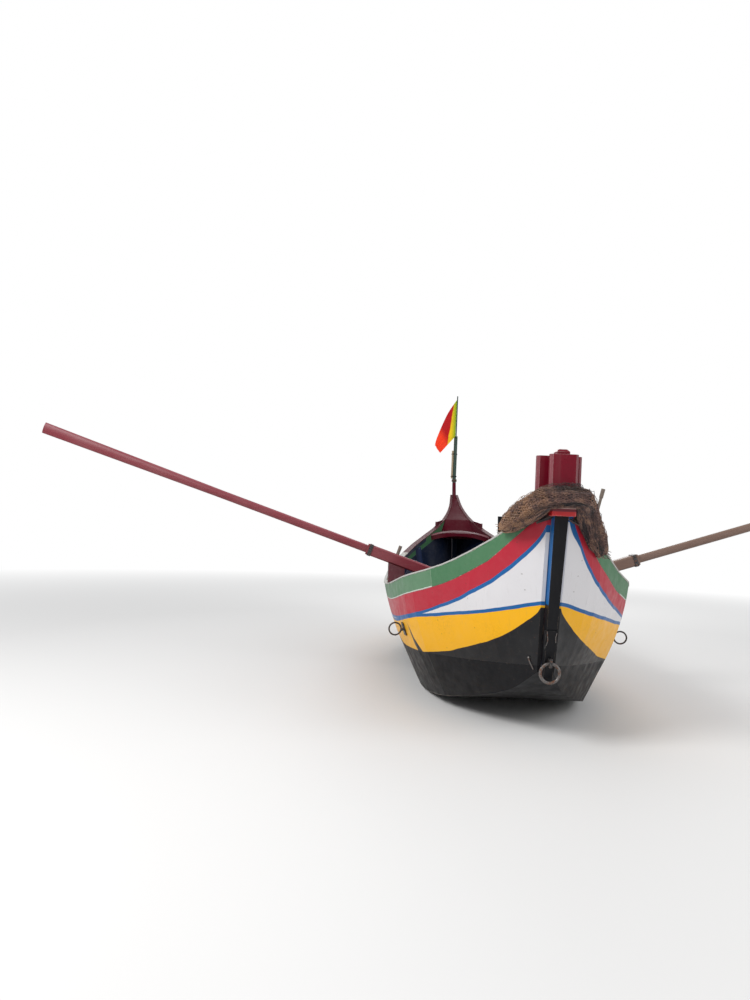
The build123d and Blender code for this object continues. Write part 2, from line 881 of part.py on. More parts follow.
def oar_blade(side):
    """Round shaft that flattens into a long narrow blade."""
    axis_z = LOOM_DEPTH / 2

    def ellipse_at(x, height, thick):
        plane = Plane((x, 0, axis_z), x_dir=(0, 1, 0), z_dir=(1, 0, 0))
        return Wire(plane * Edge.make_ellipse(thick / 2, height / 2))

    root = OAR_TIP_REACH - BLADE_LENGTH
    shaft = Pos(LOOM_REACH, 0, axis_z) * Rot(0, 90, 0)
    length = root - LOOM_REACH
    shaft = shaft * Pos(0, 0, length / 2) * Cylinder(SHAFT_DIA / 2, length)
    blade = Solid.make_loft(
        [
            ellipse_at(root, SHAFT_DIA, SHAFT_DIA),
            ellipse_at(OAR_TIP_REACH, BLADE_WIDTH, BLADE_THICK),
        ],
        ruled=True,
    )
    return mirrored(on_oar() * (shaft + blade), side)


def oar_band(side):
    """Iron band round the outer end of the loom."""
    half = LOOM_WIDTH / 2 + FIT
    outer = half + BAND_THICK
    end = LOOM_REACH - BAND_LENGTH / 2
    start = end - BAND_LENGTH
    ring = block(start, end, -outer, outer, -BAND_THICK - FIT, LOOM_DEPTH + BAND_THICK + FIT)
    ring -= block(start, end, -half, half, -FIT, LOOM_DEPTH + FIT)
    return mirrored(on_oar() * ring, side)


def oar_wedge(side):
    """Block on the gunwale whose top leans with the oar, bored for the pin."""
    wires = []
    for y in (OAR_Y - WEDGE_LENGTH / 2, OAR_Y + WEDGE_LENGTH / 2):
        base_z = sheer_at(y)[1] + CAP_THICK + 2 * FIT
        left = PIN_X - WEDGE_INBOARD
        right = PIN_X + WEDGE_OUTBOARD
        seat = OAR_SEAT_Z - FIT
        points = [
            Vector(left, y, base_z),
            Vector(right, y, base_z),
            Vector(right, y, seat + OAR_SLOPE * (right - PIN_X)),
            Vector(left, y, seat + OAR_SLOPE * (left - PIN_X)),
        ]
        wires.append(Wire.make_polygon(points, close=True))
    wedge = Solid.make_loft(wires, ruled=True)
    wedge -= on_oar() * Cylinder(PIN_DIA / 2 + FIT, 6 * LOOM_DEPTH)
    return mirrored(wedge, side)


def thole_pin(side):
    """Wooden pin through the wedge and the loom."""
    low = sheer_at(OAR_Y)[1] + CAP_THICK + PIN_DIA / 2 - OAR_SEAT_Z
    high = LOOM_DEPTH + PIN_ABOVE
    pin = Pos(0, 0, (low + high) / 2) * Cylinder(PIN_DIA / 2, high - low)
    return mirrored(on_oar() * pin, side)


def side_eye(side):
    """Forged eye on a plate at the quarter, its ring standing out from the planking."""
    plate = Pos(0, 0, LUG_SEAT + LUG_THICK / 2) * Box(LUG_WIDTH, LUG_HEIGHT, LUG_THICK)
    major = (SIDE_RING_DIA - SIDE_RING_WIRE) / 2
    ring_z = LUG_SEAT + LUG_THICK + SIDE_RING_GAP + SIDE_RING_DIA / 2
    ring = Pos(0, SIDE_RING_RISE, ring_z) * Rot(0, 90, 0) * Torus(major, SIDE_RING_WIRE / 2)
    reach = ring_z - sqrt(major**2 - SIDE_RING_RISE**2)
    shank = Pos(0, 0, LUG_SEAT + reach / 2) * Cylinder(SHANK_DIA / 2, reach)
    return mirrored(skin_plane(LUG_Y, LUG_Z).location * (plate + shank + ring), side)


def sternpost_back(z):
    """Y of the sternpost's aft face at height z."""
    return STERN_FOOT + STERN_RAKE * z - STERNPOST_AFT


def stern_eye():
    """Eye plate at the foot of the sternpost."""
    z0 = STERN_EYE_Z - STERN_EYE_HEIGHT / 2
    z1 = STERN_EYE_Z + STERN_EYE_HEIGHT / 2
    reach = STERN_EYE_REACH
    points = [
        (sternpost_back(z0) - FIT, z0),
        (sternpost_back(z1) - FIT, z1),
        (sternpost_back(z1) - reach, z1),
        (sternpost_back(z0) - reach, z0),
    ]
    plate = prism_x(points, STERN_EYE_THICK / 2)
    hole = Pos(0, sternpost_back(STERN_EYE_Z) - reach / 2, STERN_EYE_Z) * Rot(0, 90, 0)
    return plate - hole * Cylinder(STERN_EYE_HOLE / 2, 4 * STERN_EYE_THICK)


def stern_ring():
    """Large ring that hangs from the sternpost."""
    major = (STERN_RING_DIA - STERN_RING_WIRE) / 2
    dip = major - sqrt(major**2 - (STERN_EYE_THICK / 2) ** 2)
    drop = STERN_EYE_HOLE / 2 - STERN_RING_WIRE / 2 - dip - FIT
    y = sternpost_back(STERN_EYE_Z) - STERN_EYE_REACH / 2
    place = Pos(0, y, STERN_EYE_Z - drop - major) * Rot(90, 0, 0)
    return place * Torus(major, STERN_RING_WIRE / 2)


def stern_strap():
    """Iron strap bent round the sternpost above the eye."""
    z0 = STRAP_Z - STRAP_HEIGHT / 2
    z1 = STRAP_Z + STRAP_HEIGHT / 2

    def shell(grow):
        points = [
            (sternpost_back(z0) - grow, z0),
            (sternpost_back(z1) - grow, z1),
            (sternpost_back(z1) + STRAP_LENGTH, z1),
            (sternpost_back(z0) + STRAP_LENGTH, z0),
        ]
        slope = (STERNPOST_HEAD_HALF - STERNPOST_FOOT_HALF) / (STERN_SHEER_Z - STERN_CHINE_Z)
        low = STERNPOST_FOOT_HALF + slope * (z0 - STERN_CHINE_Z) + grow
        high = STERNPOST_FOOT_HALF + slope * (z1 - STERN_CHINE_Z) + grow
        sides = [(-low, z0), (low, z0), (high, z1), (-high, z1)]
        return prism_x(points, BEAM / 4) & prism_y(sides, -LENGTH, LENGTH)

    return shell(FIT + STRAP_THICK) - shell(FIT)


def below_capping(y, reach):
    """Everything under the slope of the capping near Y."""
    line = [(top.Y, top.Z + FIT) for top in capping_line(y - reach, y + reach)]
    return prism_x([(line[0][0], 0)] + line + [(line[-1][0], 0)], BEAM)


def gunwale_post():
    """Tapered post beside the foredeck on the starboard gunwale."""
    y = GUNWALE_POST_Y
    low = sheer_at(y)[1] - GUNWALE_POST_DIA
    height = GUNWALE_POST_TOP_Z - low
    place = Pos(sheer_at(y)[0] - CAP_WIDTH / 2, y, low + height / 2)
    post = place * Cone(GUNWALE_POST_FOOT_DIA / 2, GUNWALE_POST_DIA / 2, height)
    return post - below_capping(y, GUNWALE_POST_DIA)


def quarter_peg():
    """Thin peg with a thicker head, stepped on the aft deck and leaning outboard."""
    radius, centre_z = deck_arc(AFTDECK_EDGE_Z)
    length = (QUARTER_PEG_TOP_Z - AFTDECK_EDGE_Z) / cos(radians(QUARTER_PEG_LEAN))
    place = Pos(QUARTER_PEG_X, QUARTER_PEG_Y, AFTDECK_EDGE_Z) * Rot(0, QUARTER_PEG_LEAN, 0)
    shaft = Pos(0, 0, length / 2) * Cylinder(QUARTER_PEG_DIA / 2, length)
    rise = length - QUARTER_PEG_HEAD_LENGTH / 2
    head = Pos(0, 0, rise) * Cylinder(QUARTER_PEG_HEAD_DIA / 2, QUARTER_PEG_HEAD_LENGTH)
    deck_below = Pos(0, QUARTER_PEG_Y, centre_z) * Rot(90, 0, 0)
    return place * (shaft + head) - deck_below * Cylinder(radius + FIT, 4 * QUARTER_PEG_HEAD_DIA)


def flagpole_y():
    """Y of the flagpole, in the middle of the stem head."""
    return STEM_FOOT + STEM_RAKE * STEM_HEAD_Z + (STEM_FORE - POST_INNER) / 2


def flagpole():
    """Pole on the stem head."""
    low = STEM_HEAD_Z + FIT
    middle = low + FLAGPOLE_HEIGHT / 2
    return Pos(0, flagpole_y(), middle) * Cylinder(FLAGPOLE_DIA / 2, FLAGPOLE_HEIGHT)


def pole_splint():
    """Flat splint lashed to the port side of the pole."""
    low = STEM_HEAD_Z + SPLINT_RISE
    x = -(FLAGPOLE_DIA + SPLINT_THICK) / 2 - FIT
    return Pos(x, flagpole_y(), low + SPLINT_LENGTH / 2) * Box(SPLINT_THICK, SPLINT_WIDTH, SPLINT_LENGTH)


def flagstick_y():
    """Y of the thin stick that carries the flag."""
    return flagpole_y() - (FLAGPOLE_DIA + FLAGSTICK_DIA) / 2 - FIT


def flagstick():
    """Thin stick lashed behind the top of the pole."""
    height = FLAGSTICK_TOP_Z - FLAGSTICK_BASE_Z
    middle = FLAGSTICK_BASE_Z + height / 2
    return Pos(0, flagstick_y(), middle) * Cylinder(FLAGSTICK_DIA / 2, height)


def flag():
    """Flag hanging to port of its stick."""
    x = -FLAGSTICK_DIA / 2 - FIT
    points = [(x, FLAG_TOP_Z), (x, FLAG_FOOT_Z)]
    points += [(x - across, FLAG_TOP_Z - down) for across, down in FLAG_CORNERS]
    y = flagstick_y()
    return prism_y(points, y - FLAG_THICK / 2, y + FLAG_THICK / 2)


def under_net():
    """Closed volume of the stern quarters that the net lies on, up to the top of the capping."""
    out = CAP_LIP + NET_CLEAR
    wires = []
    for section in SECTIONS:
        if section.foot > STATIONS[1][0] * LENGTH / 2:
            break
        b, z = section.sheer
        corners = [(b + out, z + FIT + CAP_THICK + NET_CLEAR)]
        corners += [section.topside(share, -out) for share in (0.97, 0.85, 0.7, 0.5)]
        right = [section.place(corner) for corner in corners]
        left = [section.place(corner, -1) for corner in reversed(corners)]
        wires.append(Wire.make_polygon(right + left, close=True))
    return Solid.make_loft(wires, ruled=True)


def cleared(piece):
    """Block round a piece of the stern head that keeps the net off it."""
    low = piece.bounding_box().min
    high = piece.bounding_box().max
    c = NET_CLEAR
    return block(low.X - c, high.X + c, low.Y - c, high.Y + c, low.Z - c, high.Z + c)


def net_bundle(head_pieces):
    """Roll of net wrapped round the stern head, hugging both quarters."""
    wires = []
    for index, (x, y, z, radius) in enumerate(NET_STATIONS):
        before = Vector(*NET_STATIONS[max(index - 1, 0)][:3])
        after = Vector(*NET_STATIONS[min(index + 1, len(NET_STATIONS) - 1)][:3])
        along = after - before
        plane = Plane((x, y, z), x_dir=along.cross(Vector(0, 0, 1)), z_dir=along)
        ring = []
        for step in range(NET_SIDES):
            angle = 2 * pi * (step + 0.5) / NET_SIDES
            across = radius * cos(angle)
            upward = NET_FLATTEN * radius * sin(angle)
            ring.append(plane.from_local_coords((across, upward, 0)))
        wires.append(Wire.make_polygon([Vector(*point) for point in ring], close=True))
    roll = Solid.make_loft(wires, ruled=True) - under_net()
    for piece in head_pieces:
        roll -= cleared(piece)
    return roll.solids().sort_by(SortBy.VOLUME)[-1]


def hull_pieces():
    """Planking, posts, decks and everything fixed inside them."""
    inside = hull_inside(PLANK_THICK + FIT, BOTTOM_THICK + FIT, SECTIONS)
    side_gap = PLANK_THICK + FRAME_DEPTH + FIT
    within_frames = hull_inside(side_gap, BOTTOM_THICK + FRAME_DEPTH + FIT, FRAMED)
    half = HEAD_SIDE / 2
    wing_aft = HEAD_Y - half - WING_THICK
    wing_fore = HEAD_Y + half + WING_THICK
    fore_end = HOOD_Y - FIT
    aft_end = STERN_FOOT + STERN_RAKE * AFTDECK_EDGE_Z + POST_INNER + FIT
    pieces = {
        "bottom_planking": bottom_planking(),
        "sternpost": sternpost(),
        "stem": stem(),
        "frames": frames(),
        "floor_boards": floor_boards(),
        "thwart_cleats": thwart_cleats(within_frames),
        "thwart_bracket": bracket(),
        "foredeck": inside & deck(FOREDECK_EDGE_Z, FOREDECK_Y - DECK_LIP, fore_end),
        "foredeck_beam": inside & deck_beam(FOREDECK_EDGE_Z, FOREDECK_Y),
        "aft_deck": inside & deck(AFTDECK_EDGE_Z, aft_end, AFTDECK_Y + DECK_LIP),
        "aft_deck_beam": inside & deck_beam(AFTDECK_EDGE_Z, AFTDECK_Y - DECK_BEAM_THICK),
        "bow_hood": bow_hood(),
        "stern_cap": stern_cap(),
        "stern_head_post": head_core(),
        "stern_head_aft_wing": head_wing(AFT_WING_WIDTH, wing_aft, HEAD_Y - half, AFT_WING_BASE_Z),
        "stern_head_fore_wing": head_wing(FORE_WING_WIDTH, HEAD_Y + half, wing_fore, FORE_WING_BASE_Z),
        "gunwale_post": gunwale_post(),
        "quarter_peg": quarter_peg(),
        "flagpole": flagpole(),
        "pole_splint": pole_splint(),
        "flagstick": flagstick(),
        "flag": flag(),
        "stern_eye": stern_eye(),
        "stern_ring": stern_ring(),
        "stern_strap": stern_strap(),
    }
    head = ["stern_cap", "stern_head_post", "stern_head_aft_wing", "stern_head_fore_wing"]
    pieces["net_bundle"] = net_bundle([pieces[name] for name in head])
    for name, y, top in THWARTS:
        pieces[name] = thwart(y, top, within_frames)
    return pieces


def side_pieces(name, side):
    """What port and starboard each have."""
    return {
        "bilge_plank_" + name: bilge_plank(side),
        "side_planking_" + name: side_planking(side),
        "sheer_strake_" + name: sheer_strake(side),
        "gunwale_cap_" + name: gunwale_cap(side),
        "inwale_" + name: inwale(side),
        "bow_cheek_" + name: bow_cheek(side),
        "oar_wedge_" + name: oar_wedge(side),
        "thole_pin_" + name: thole_pin(side),
        "oar_loom_" + name: oar_loom(side),
        "oar_blade_" + name: oar_blade(side),
        "oar_band_" + name: oar_band(side),
        "side_eye_" + name: side_eye(side),
    }


def build():
    """Every piece by its node name."""
    pieces = hull_pieces()
    for name, side in (("port", -1), ("starboard", 1)):
        pieces.update(side_pieces(name, side))
    return pieces


if __name__ == "__main__":
    os.makedirs("parts", exist_ok=True)
    for node, shape in build().items():
        export_step(shape, f"parts/{node}.step")
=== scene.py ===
import math
import random

import bpy
from mathutils import Matrix, Vector
from mathutils.bvhtree import BVHTree


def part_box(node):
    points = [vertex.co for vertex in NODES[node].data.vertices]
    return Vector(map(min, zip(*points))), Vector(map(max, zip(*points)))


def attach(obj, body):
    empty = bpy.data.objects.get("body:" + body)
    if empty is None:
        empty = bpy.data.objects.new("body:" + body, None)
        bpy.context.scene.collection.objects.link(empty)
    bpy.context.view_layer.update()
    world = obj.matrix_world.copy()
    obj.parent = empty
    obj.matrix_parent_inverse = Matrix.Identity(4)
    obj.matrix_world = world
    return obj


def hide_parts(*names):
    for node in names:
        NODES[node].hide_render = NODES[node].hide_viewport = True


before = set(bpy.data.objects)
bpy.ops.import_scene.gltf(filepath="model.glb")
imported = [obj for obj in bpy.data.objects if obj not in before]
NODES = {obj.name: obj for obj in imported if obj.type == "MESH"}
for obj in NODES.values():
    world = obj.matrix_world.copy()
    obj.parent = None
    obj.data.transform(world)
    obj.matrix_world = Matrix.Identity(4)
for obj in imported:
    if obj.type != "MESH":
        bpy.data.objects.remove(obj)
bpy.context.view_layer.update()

# Reach of the curves that the paint follows: distance from midships, and height
HULL_END_Y = 3.72
HULL_TOP_Z = 2.20


class Graph:
    """Small helper that builds one material's node tree."""

    def __init__(self, name):
        self.material = bpy.data.materials.new(name)
        self.material.use_nodes = True
        self.tree = self.material.node_tree
        self.tree.nodes.clear()
        self.output = self.add("ShaderNodeOutputMaterial")
        self.coord = self.add("ShaderNodeTexCoord")
        self.place = self.coord.outputs["Object"]
        split = self.add("ShaderNodeSeparateXYZ")
        self.link(self.place, split.inputs[0])
        self.x, self.y, self.z = split.outputs

    def add(self, kind, **values):
        node = self.tree.nodes.new(kind)
        for key, value in values.items():
            setattr(node, key, value)
        return node

    def link(self, source, target):
        self.tree.links.new(source, target)

    def feed(self, socket, value):
        if isinstance(value, bpy.types.NodeSocket):
            self.link(value, socket)
        elif isinstance(value, (tuple, list)) and len(value) == 3 and socket.type == "RGBA":
            socket.default_value = (*value, 1.0)
        else:
            socket.default_value = value

    def fill(self, node, inputs):
        """Gives a node's inputs their values or links, by name or number."""
        for key, value in inputs.items():
            self.feed(node.inputs[key], value)

    def math(self, operation, a, b=0.0, c=0.0, clamp=False):
        node = self.add("ShaderNodeMath", operation=operation, use_clamp=clamp)
        self.fill(node, {0: a, 1: b, 2: c})
        return node.outputs[0]

    def times(self, a, b):
        return self.math("MULTIPLY", a, b)

    def measure(self, operation, a, b=(0, 0, 0)):
        """Number that a vector operation gives."""
        node = self.add("ShaderNodeVectorMath", operation=operation)
        self.fill(node, {0: a, 1: b})
        return node.outputs["Value"]

    def mix(self, share, a, b, blend="MIX"):
        node = self.add("ShaderNodeMix", data_type="RGBA", blend_type=blend, clamp_factor=True)
        self.fill(node, {"Factor": share, 6: a, 7: b})
        return node.outputs[2]

    def noise(self, scale, stretch=(1, 1, 1), *, detail, rough=0.55, warp=0.0):
        mapping = self.add("ShaderNodeMapping")
        self.fill(mapping, {"Vector": self.place, "Scale": stretch})
        node = self.add("ShaderNodeTexNoise")
        self.fill(node, {"Vector": mapping.outputs[0], "Scale": scale, "Detail": detail,
                         "Roughness": rough, "Distortion": warp})
        return node.outputs["Fac"]

    def band(self, value, low, high, out_low=0.0, out_high=1.0):
        node = self.add("ShaderNodeMapRange", clamp=True)
        self.fill(node, {"Value": value, "From Min": low, "From Max": high, "To Min": out_low,
                         "To Max": out_high})
        return node.outputs["Result"]

    def below(self, value, limit, blur=0.0015):
        """1 where value is under limit, with an edge of the given softness."""
        gap = self.math("SUBTRACT", limit, value)
        return self.band(gap, -blur, blur)

    def curve(self, points, smooth=True):
        """Height over the ground as a curve along the boat, from a short table of (y, z)."""
        along = self.band(self.y, -HULL_END_Y, HULL_END_Y)
        node = self.add("ShaderNodeFloatCurve")
        line = node.mapping.curves[0]
        table = [((y + HULL_END_Y) / (2 * HULL_END_Y), z / HULL_TOP_Z) for y, z in points]
        line.points[0].location = table[0]
        line.points[1].location = table[-1]
        for spot in table[1:-1]:
            line.points.new(*spot)
        for point in line.points:
            point.handle_type = "AUTO" if smooth else "VECTOR"
        node.mapping.update()
        self.link(along, node.inputs["Value"])
        return self.times(node.outputs[0], HULL_TOP_Z)

    def facing(self):
        """Direction that the surface looks in, as three values."""
        split = self.add("ShaderNodeSeparateXYZ")
        self.link(self.coord.outputs["Normal"], split.inputs[0])
        return split.outputs

    def edge_wear(self, amount, radius=0.006):
        """1 along worn edges, broken up by noise."""
        bevel = self.add("ShaderNodeBevel", samples=4)
        bevel.inputs["Radius"].default_value = radius
        normal = self.add("ShaderNodeNewGeometry").outputs["Normal"]
        flat = self.measure("DOT_PRODUCT", bevel.outputs[0], normal)
        edge = self.band(flat, 0.995, 0.90)
        chips = self.band(self.noise(24.0, detail=5.0, rough=0.7), 0.62 - 0.22 * amount, 0.70)
        return self.math("MULTIPLY", edge, chips, clamp=True)

    def roughness(self, scale, low, high, detail=4.0):
        """Roughness that drifts between two values."""
        return self.band(self.noise(scale, detail=detail), 0.3, 0.7, low, high)

    def bump(self, height, strength, distance):
        node = self.add("ShaderNodeBump")
        self.fill(node, {"Height": height, "Strength": strength, "Distance": distance})
        return node.outputs[0]

    def shader(self, colour, rough, normal=None, metallic=0.0, coat=0.0, specular=0.5, sheen=0.0):
        node = self.add("ShaderNodeBsdfPrincipled")
        self.fill(node, {"Base Color": colour, "Roughness": rough, "Metallic": metallic,
                         "Coat Weight": coat, "Coat Roughness": 0.25,
                         "Specular IOR Level": specular, "Sheen Weight": sheen})
        if normal is not None:
            self.link(normal, node.inputs["Normal"])
        return node.outputs[0]

    def finish(self, shader):
        """The finished material."""
        self.link(shader, self.output.inputs["Surface"])
        return self.material

    def surface(self, *looks, **more):
        """The finished material, with one shader."""
        return self.finish(self.shader(*looks, **more))

    def blend(self, share, first, second):
        """The finished material, mixed from two shaders."""
        node = self.add("ShaderNodeMixShader")
        self.fill(node, {0: share, 1: first, 2: second})
        return self.finish(node.outputs[0])


def linear(r, g, b):
    """Linear colour from 0-255 display values."""
    values = []
    for level in (r, g, b):
        level /= 255
        values.append(level / 12.92 if level <= 0.04045 else ((level + 0.055) / 1.055) ** 2.4)
    return tuple(values)


GRAIN = {"X": (0.05, 1, 1), "Y": (1, 0.05, 1), "Z": (1, 1, 0.05)}

RED = linear(174, 30, 50)
WINE = linear(78, 9, 26)
BITT_RED = linear(112, 6, 30)
CRIMSON = linear(118, 34, 46)
GREEN = linear(62, 112, 74)
BLEACHED_GREEN = linear(96, 132, 102)
BLUE = linear(0, 88, 150)
WHITE = linear(212, 210, 212)
YELLOW = linear(236, 172, 0)
BLACK = linear(10, 11, 16)
SCUFF = linear(96, 78, 66)
DUST = linear(150, 132, 112)
NAVY = linear(16, 30, 56)
CREAM = linear(205, 198, 178)
GREY_WOOD = linear(112, 86, 74)
RAW_WOOD = linear(120, 92, 66)
CANE = linear(176, 150, 104)
POLE_GREEN = linear(16, 56, 44)
ROPE = linear(206, 178, 150)


def weather(g, colour, axis, fade, grime, dust_low=0.0):
    """Colour of one coat of paint: patches, streaks, grime and sand dust low down."""
    patch = g.noise(2.2, detail=3.0)
    streak = g.noise(26.0, GRAIN[axis], detail=5.0, rough=0.6)
    pale = g.mix(0.35, colour, (0.42, 0.40, 0.37))
    dark = g.mix(1.0, colour, (0.45, 0.42, 0.42), "MULTIPLY")
    shade = g.mix(g.band(patch, 0.45, 0.75, 0.0, fade), colour, pale)
    shade = g.mix(g.band(streak, 0.52, 0.78, 0.0, fade), shade, pale)
    speck = g.noise(60.0, detail=6.0, rough=0.7)
    dirt = g.times(g.band(patch, 0.55, 0.30), g.band(speck, 0.45, 0.70))
    shade = g.mix(g.times(dirt, grime), shade, dark)
    if dust_low:
        reach = g.band(g.math("ADD", g.z, g.times(patch, 0.25)), 0.55, 0.02)
        grains = g.band(g.noise(34.0, detail=6.0, rough=0.75), 0.42, 0.75)
        share = g.times(g.times(reach, grains), dust_low)
        shade = g.mix(share, shade, linear(176, 158, 134))
    return shade


def brushed(g, axis, strength):
    """Bump of brush strokes and wood grain under paint."""
    grain = g.noise(30.0, GRAIN[axis], detail=8.0, rough=0.65, warp=0.4)
    lumps = g.noise(9.0, detail=3.0)
    relief = g.math("ADD", grain, g.times(lumps, 0.6))
    return g.bump(relief, strength, 0.004)


def bare(g, tone, axis):
    """Weathered wood with grain."""
    grain = g.noise(34.0, GRAIN[axis], detail=9.0, rough=0.7, warp=0.8)
    wide = g.noise(5.0, GRAIN[axis], detail=3.0)
    colour = g.mix(g.band(grain, 0.35, 0.70), g.mix(1.0, tone, (0.42, 0.40, 0.38), "MULTIPLY"), tone)
    return g.mix(g.band(wide, 0.4, 0.7, 0.0, 0.45), colour, g.mix(0.5, tone, (0.60, 0.58, 0.54)))


def painted(name, tone, axis, rough, wear, fade, grime, coat=0.0, under=RAW_WOOD, bump=0.25,
            specular=0.5):
    """Brushed paint, chipped along its edges down to what lies under it."""
    g = Graph(name)
    paint = weather(g, tone, axis, fade, grime)
    worn = g.edge_wear(amount=wear)
    bald = g.band(g.noise(7.0, detail=7.0, rough=0.72), 0.78 - 0.10 * wear, 0.82 - 0.10 * wear)
    worn = g.math("MAXIMUM", worn, g.times(bald, wear))
    colour = g.mix(worn, paint, bare(g, under, axis))
    gloss = g.roughness(14.0, rough - 0.09, rough + 0.12)
    gloss = g.math("ADD", gloss, g.times(worn, 0.25), clamp=True)
    return g.surface(colour, gloss, brushed(g, axis, bump), coat=coat, specular=specular)


def timber(name, tone, axis, rough=0.75):
    g = Graph(name)
    colour = bare(g, tone, axis)
    grain = g.noise(40.0, GRAIN[axis], detail=9.0, rough=0.7, warp=0.6)
    return g.surface(colour, rough, g.bump(grain, 0.5, 0.004))


def iron(name, tone, rust):
    """Iron with rust in spots."""
    g = Graph(name)
    spots = g.noise(40.0, detail=8.0, rough=0.7)
    flakes = g.noise(140.0, detail=5.0, rough=0.7)
    brown = g.mix(g.band(flakes, 0.35, 0.7), linear(70, 42, 28), linear(134, 84, 52))
    share = g.band(spots, 0.62 - 0.25 * rust, 0.70 - 0.15 * rust)
    colour = g.mix(share, g.mix(g.band(flakes, 0.4, 0.8, 0.0, 0.5), tone, (0.42, 0.41, 0.40)), brown)
    metal = g.band(share, 0.0, 1.0, 0.85, 0.15)
    gloss = g.band(share, 0.0, 1.0, 0.40, 0.85)
    return g.surface(colour, gloss, g.bump(g.math("ADD", spots, flakes), 0.5, 0.003), metallic=metal)


# Heights (m) of the painted lines along the boat, by distance from midships: (y, z).
# At the stern the foot of the red band lies higher to starboard than to port.
BOW_RED_FOOT = [
    (-1.3, 0.69), (0.0, 0.62), (1.04, 0.70), (1.55, 0.81), (1.93, 0.94), (2.2, 1.05),
    (2.56, 1.24), (2.86, 1.41), (3.08, 1.54), (3.25, 1.68), (3.45, 1.86),
]
PORT_RED_FOOT = [
    (-3.60, 1.77), (-3.536, 1.628), (-3.492, 1.547), (-3.429, 1.465), (-3.367, 1.396),
    (-3.305, 1.325), (-3.241, 1.267), (-3.167, 1.203), (-3.077, 1.152), (-2.977, 1.103),
    (-2.857, 1.043), (-2.728, 0.992), (-2.594, 0.948), (-2.457, 0.897), (-2.308, 0.852),
    (-1.938, 0.775),
] + BOW_RED_FOOT
STARBOARD_RED_FOOT = [
    (-3.60, 1.83), (-3.55, 1.75), (-3.484, 1.628), (-3.411, 1.523), (-3.355, 1.435),
    (-3.302, 1.361), (-3.228, 1.275), (-3.146, 1.206), (-3.005, 1.131), (-2.813, 1.054),
    (-2.573, 0.98), (-2.317, 0.901), (-1.938, 0.80),
] + BOW_RED_FOOT
WHITE_FOOT = [
    (-3.60, 1.12), (-3.43, 1.075), (-3.374, 1.06), (-3.31, 1.036), (-3.20, 1.0), (-3.12, 0.978),
    (-2.94, 0.939), (-2.82, 0.919), (-2.65, 0.889), (-2.44, 0.850), (-2.3, 0.83), (-2.0, 0.775),
    (-1.3, 0.665), (0.0, 0.595), (1.04, 0.675), (1.55, 0.785), (1.93, 0.90), (2.2, 0.985),
    (2.56, 1.09), (2.86, 1.17), (3.08, 1.22), (3.45, 1.27),
]
YELLOW_FOOT = [
    (-3.60, 1.34), (-3.45, 1.09), (-3.42, 1.01), (-3.354, 0.94), (-3.287, 0.88), (-3.218, 0.822),
    (-3.14, 0.773), (-3.048, 0.727), (-2.94, 0.687), (-2.8, 0.638), (-2.686, 0.602),
    (-2.551, 0.558), (-2.413, 0.525), (-2.267, 0.495), (-2.0, 0.44), (-1.6, 0.33), (1.3, 0.33),
    (1.6, 0.44), (2.0, 0.56), (2.3, 0.66), (2.6, 0.79), (2.85, 0.93), (3.0, 1.03), (3.15, 1.15),
    (3.45, 1.42),
]
LINE_WIDTH = 0.027
# Blue line under the red: distances from midships between which its width grows, and both widths,
# then what starboard adds to it
RED_LINE = (2.2, 3.3, 0.022, 0.034)
RED_LINE_STARBOARD = (3.40, 3.52, 0.0, 0.045)
# Black notch in the yellow of the port quarter: distance from midships at the ground, lean, width
NOTCH_Y = 2.50
NOTCH_LEAN = 0.79
NOTCH_WIDTH = 0.11
# Width of the blue line beside the posts, to port and to starboard
POST_LINES = (0.006, 0.018)
# Joint in the sheer strake, and where its leaning line would meet the ground
SHEER_BUTT_Y = -2.52
SHEER_BUTT_LEAN = 0.10
SHEER_BUTT_GROUND_Y = SHEER_BUTT_Y - 0.115
# Stretch where the oars rub the inside pale: how far aft its middle lies, and half its length
RUBBED_AFT = 0.6
RUBBED_HALF = 1.2
BOW_WINE_Y = 1.75
# Height and half width of the posts, low down and at the head
POST_FOOT = (0.30, 0.033)
POST_HEAD = (1.90, 0.050)


def facing_in(g):
    """1 on the faces that look into the boat."""
    normal = g.facing()
    across = g.times(normal[0], g.x)
    return g.below(g.math("MULTIPLY_ADD", normal[1], g.y, across), 0.0, 0.001)


NAIL_ROW_PITCH = 0.42
NAIL_RADIUS = 0.0045


def nail_heads(g, pitch_z=0.115):
    """1 on the plugged nail heads that stand in rows on the frames."""
    row = g.math("WRAP", g.y, NAIL_ROW_PITCH / 2, -NAIL_ROW_PITCH / 2)
    rise = g.math("WRAP", g.z, pitch_z / 2, -pitch_z / 2)
    away = g.math("SQRT", g.math("ADD", g.times(row, row), g.times(rise, rise)))
    return g.below(away, NAIL_RADIUS)


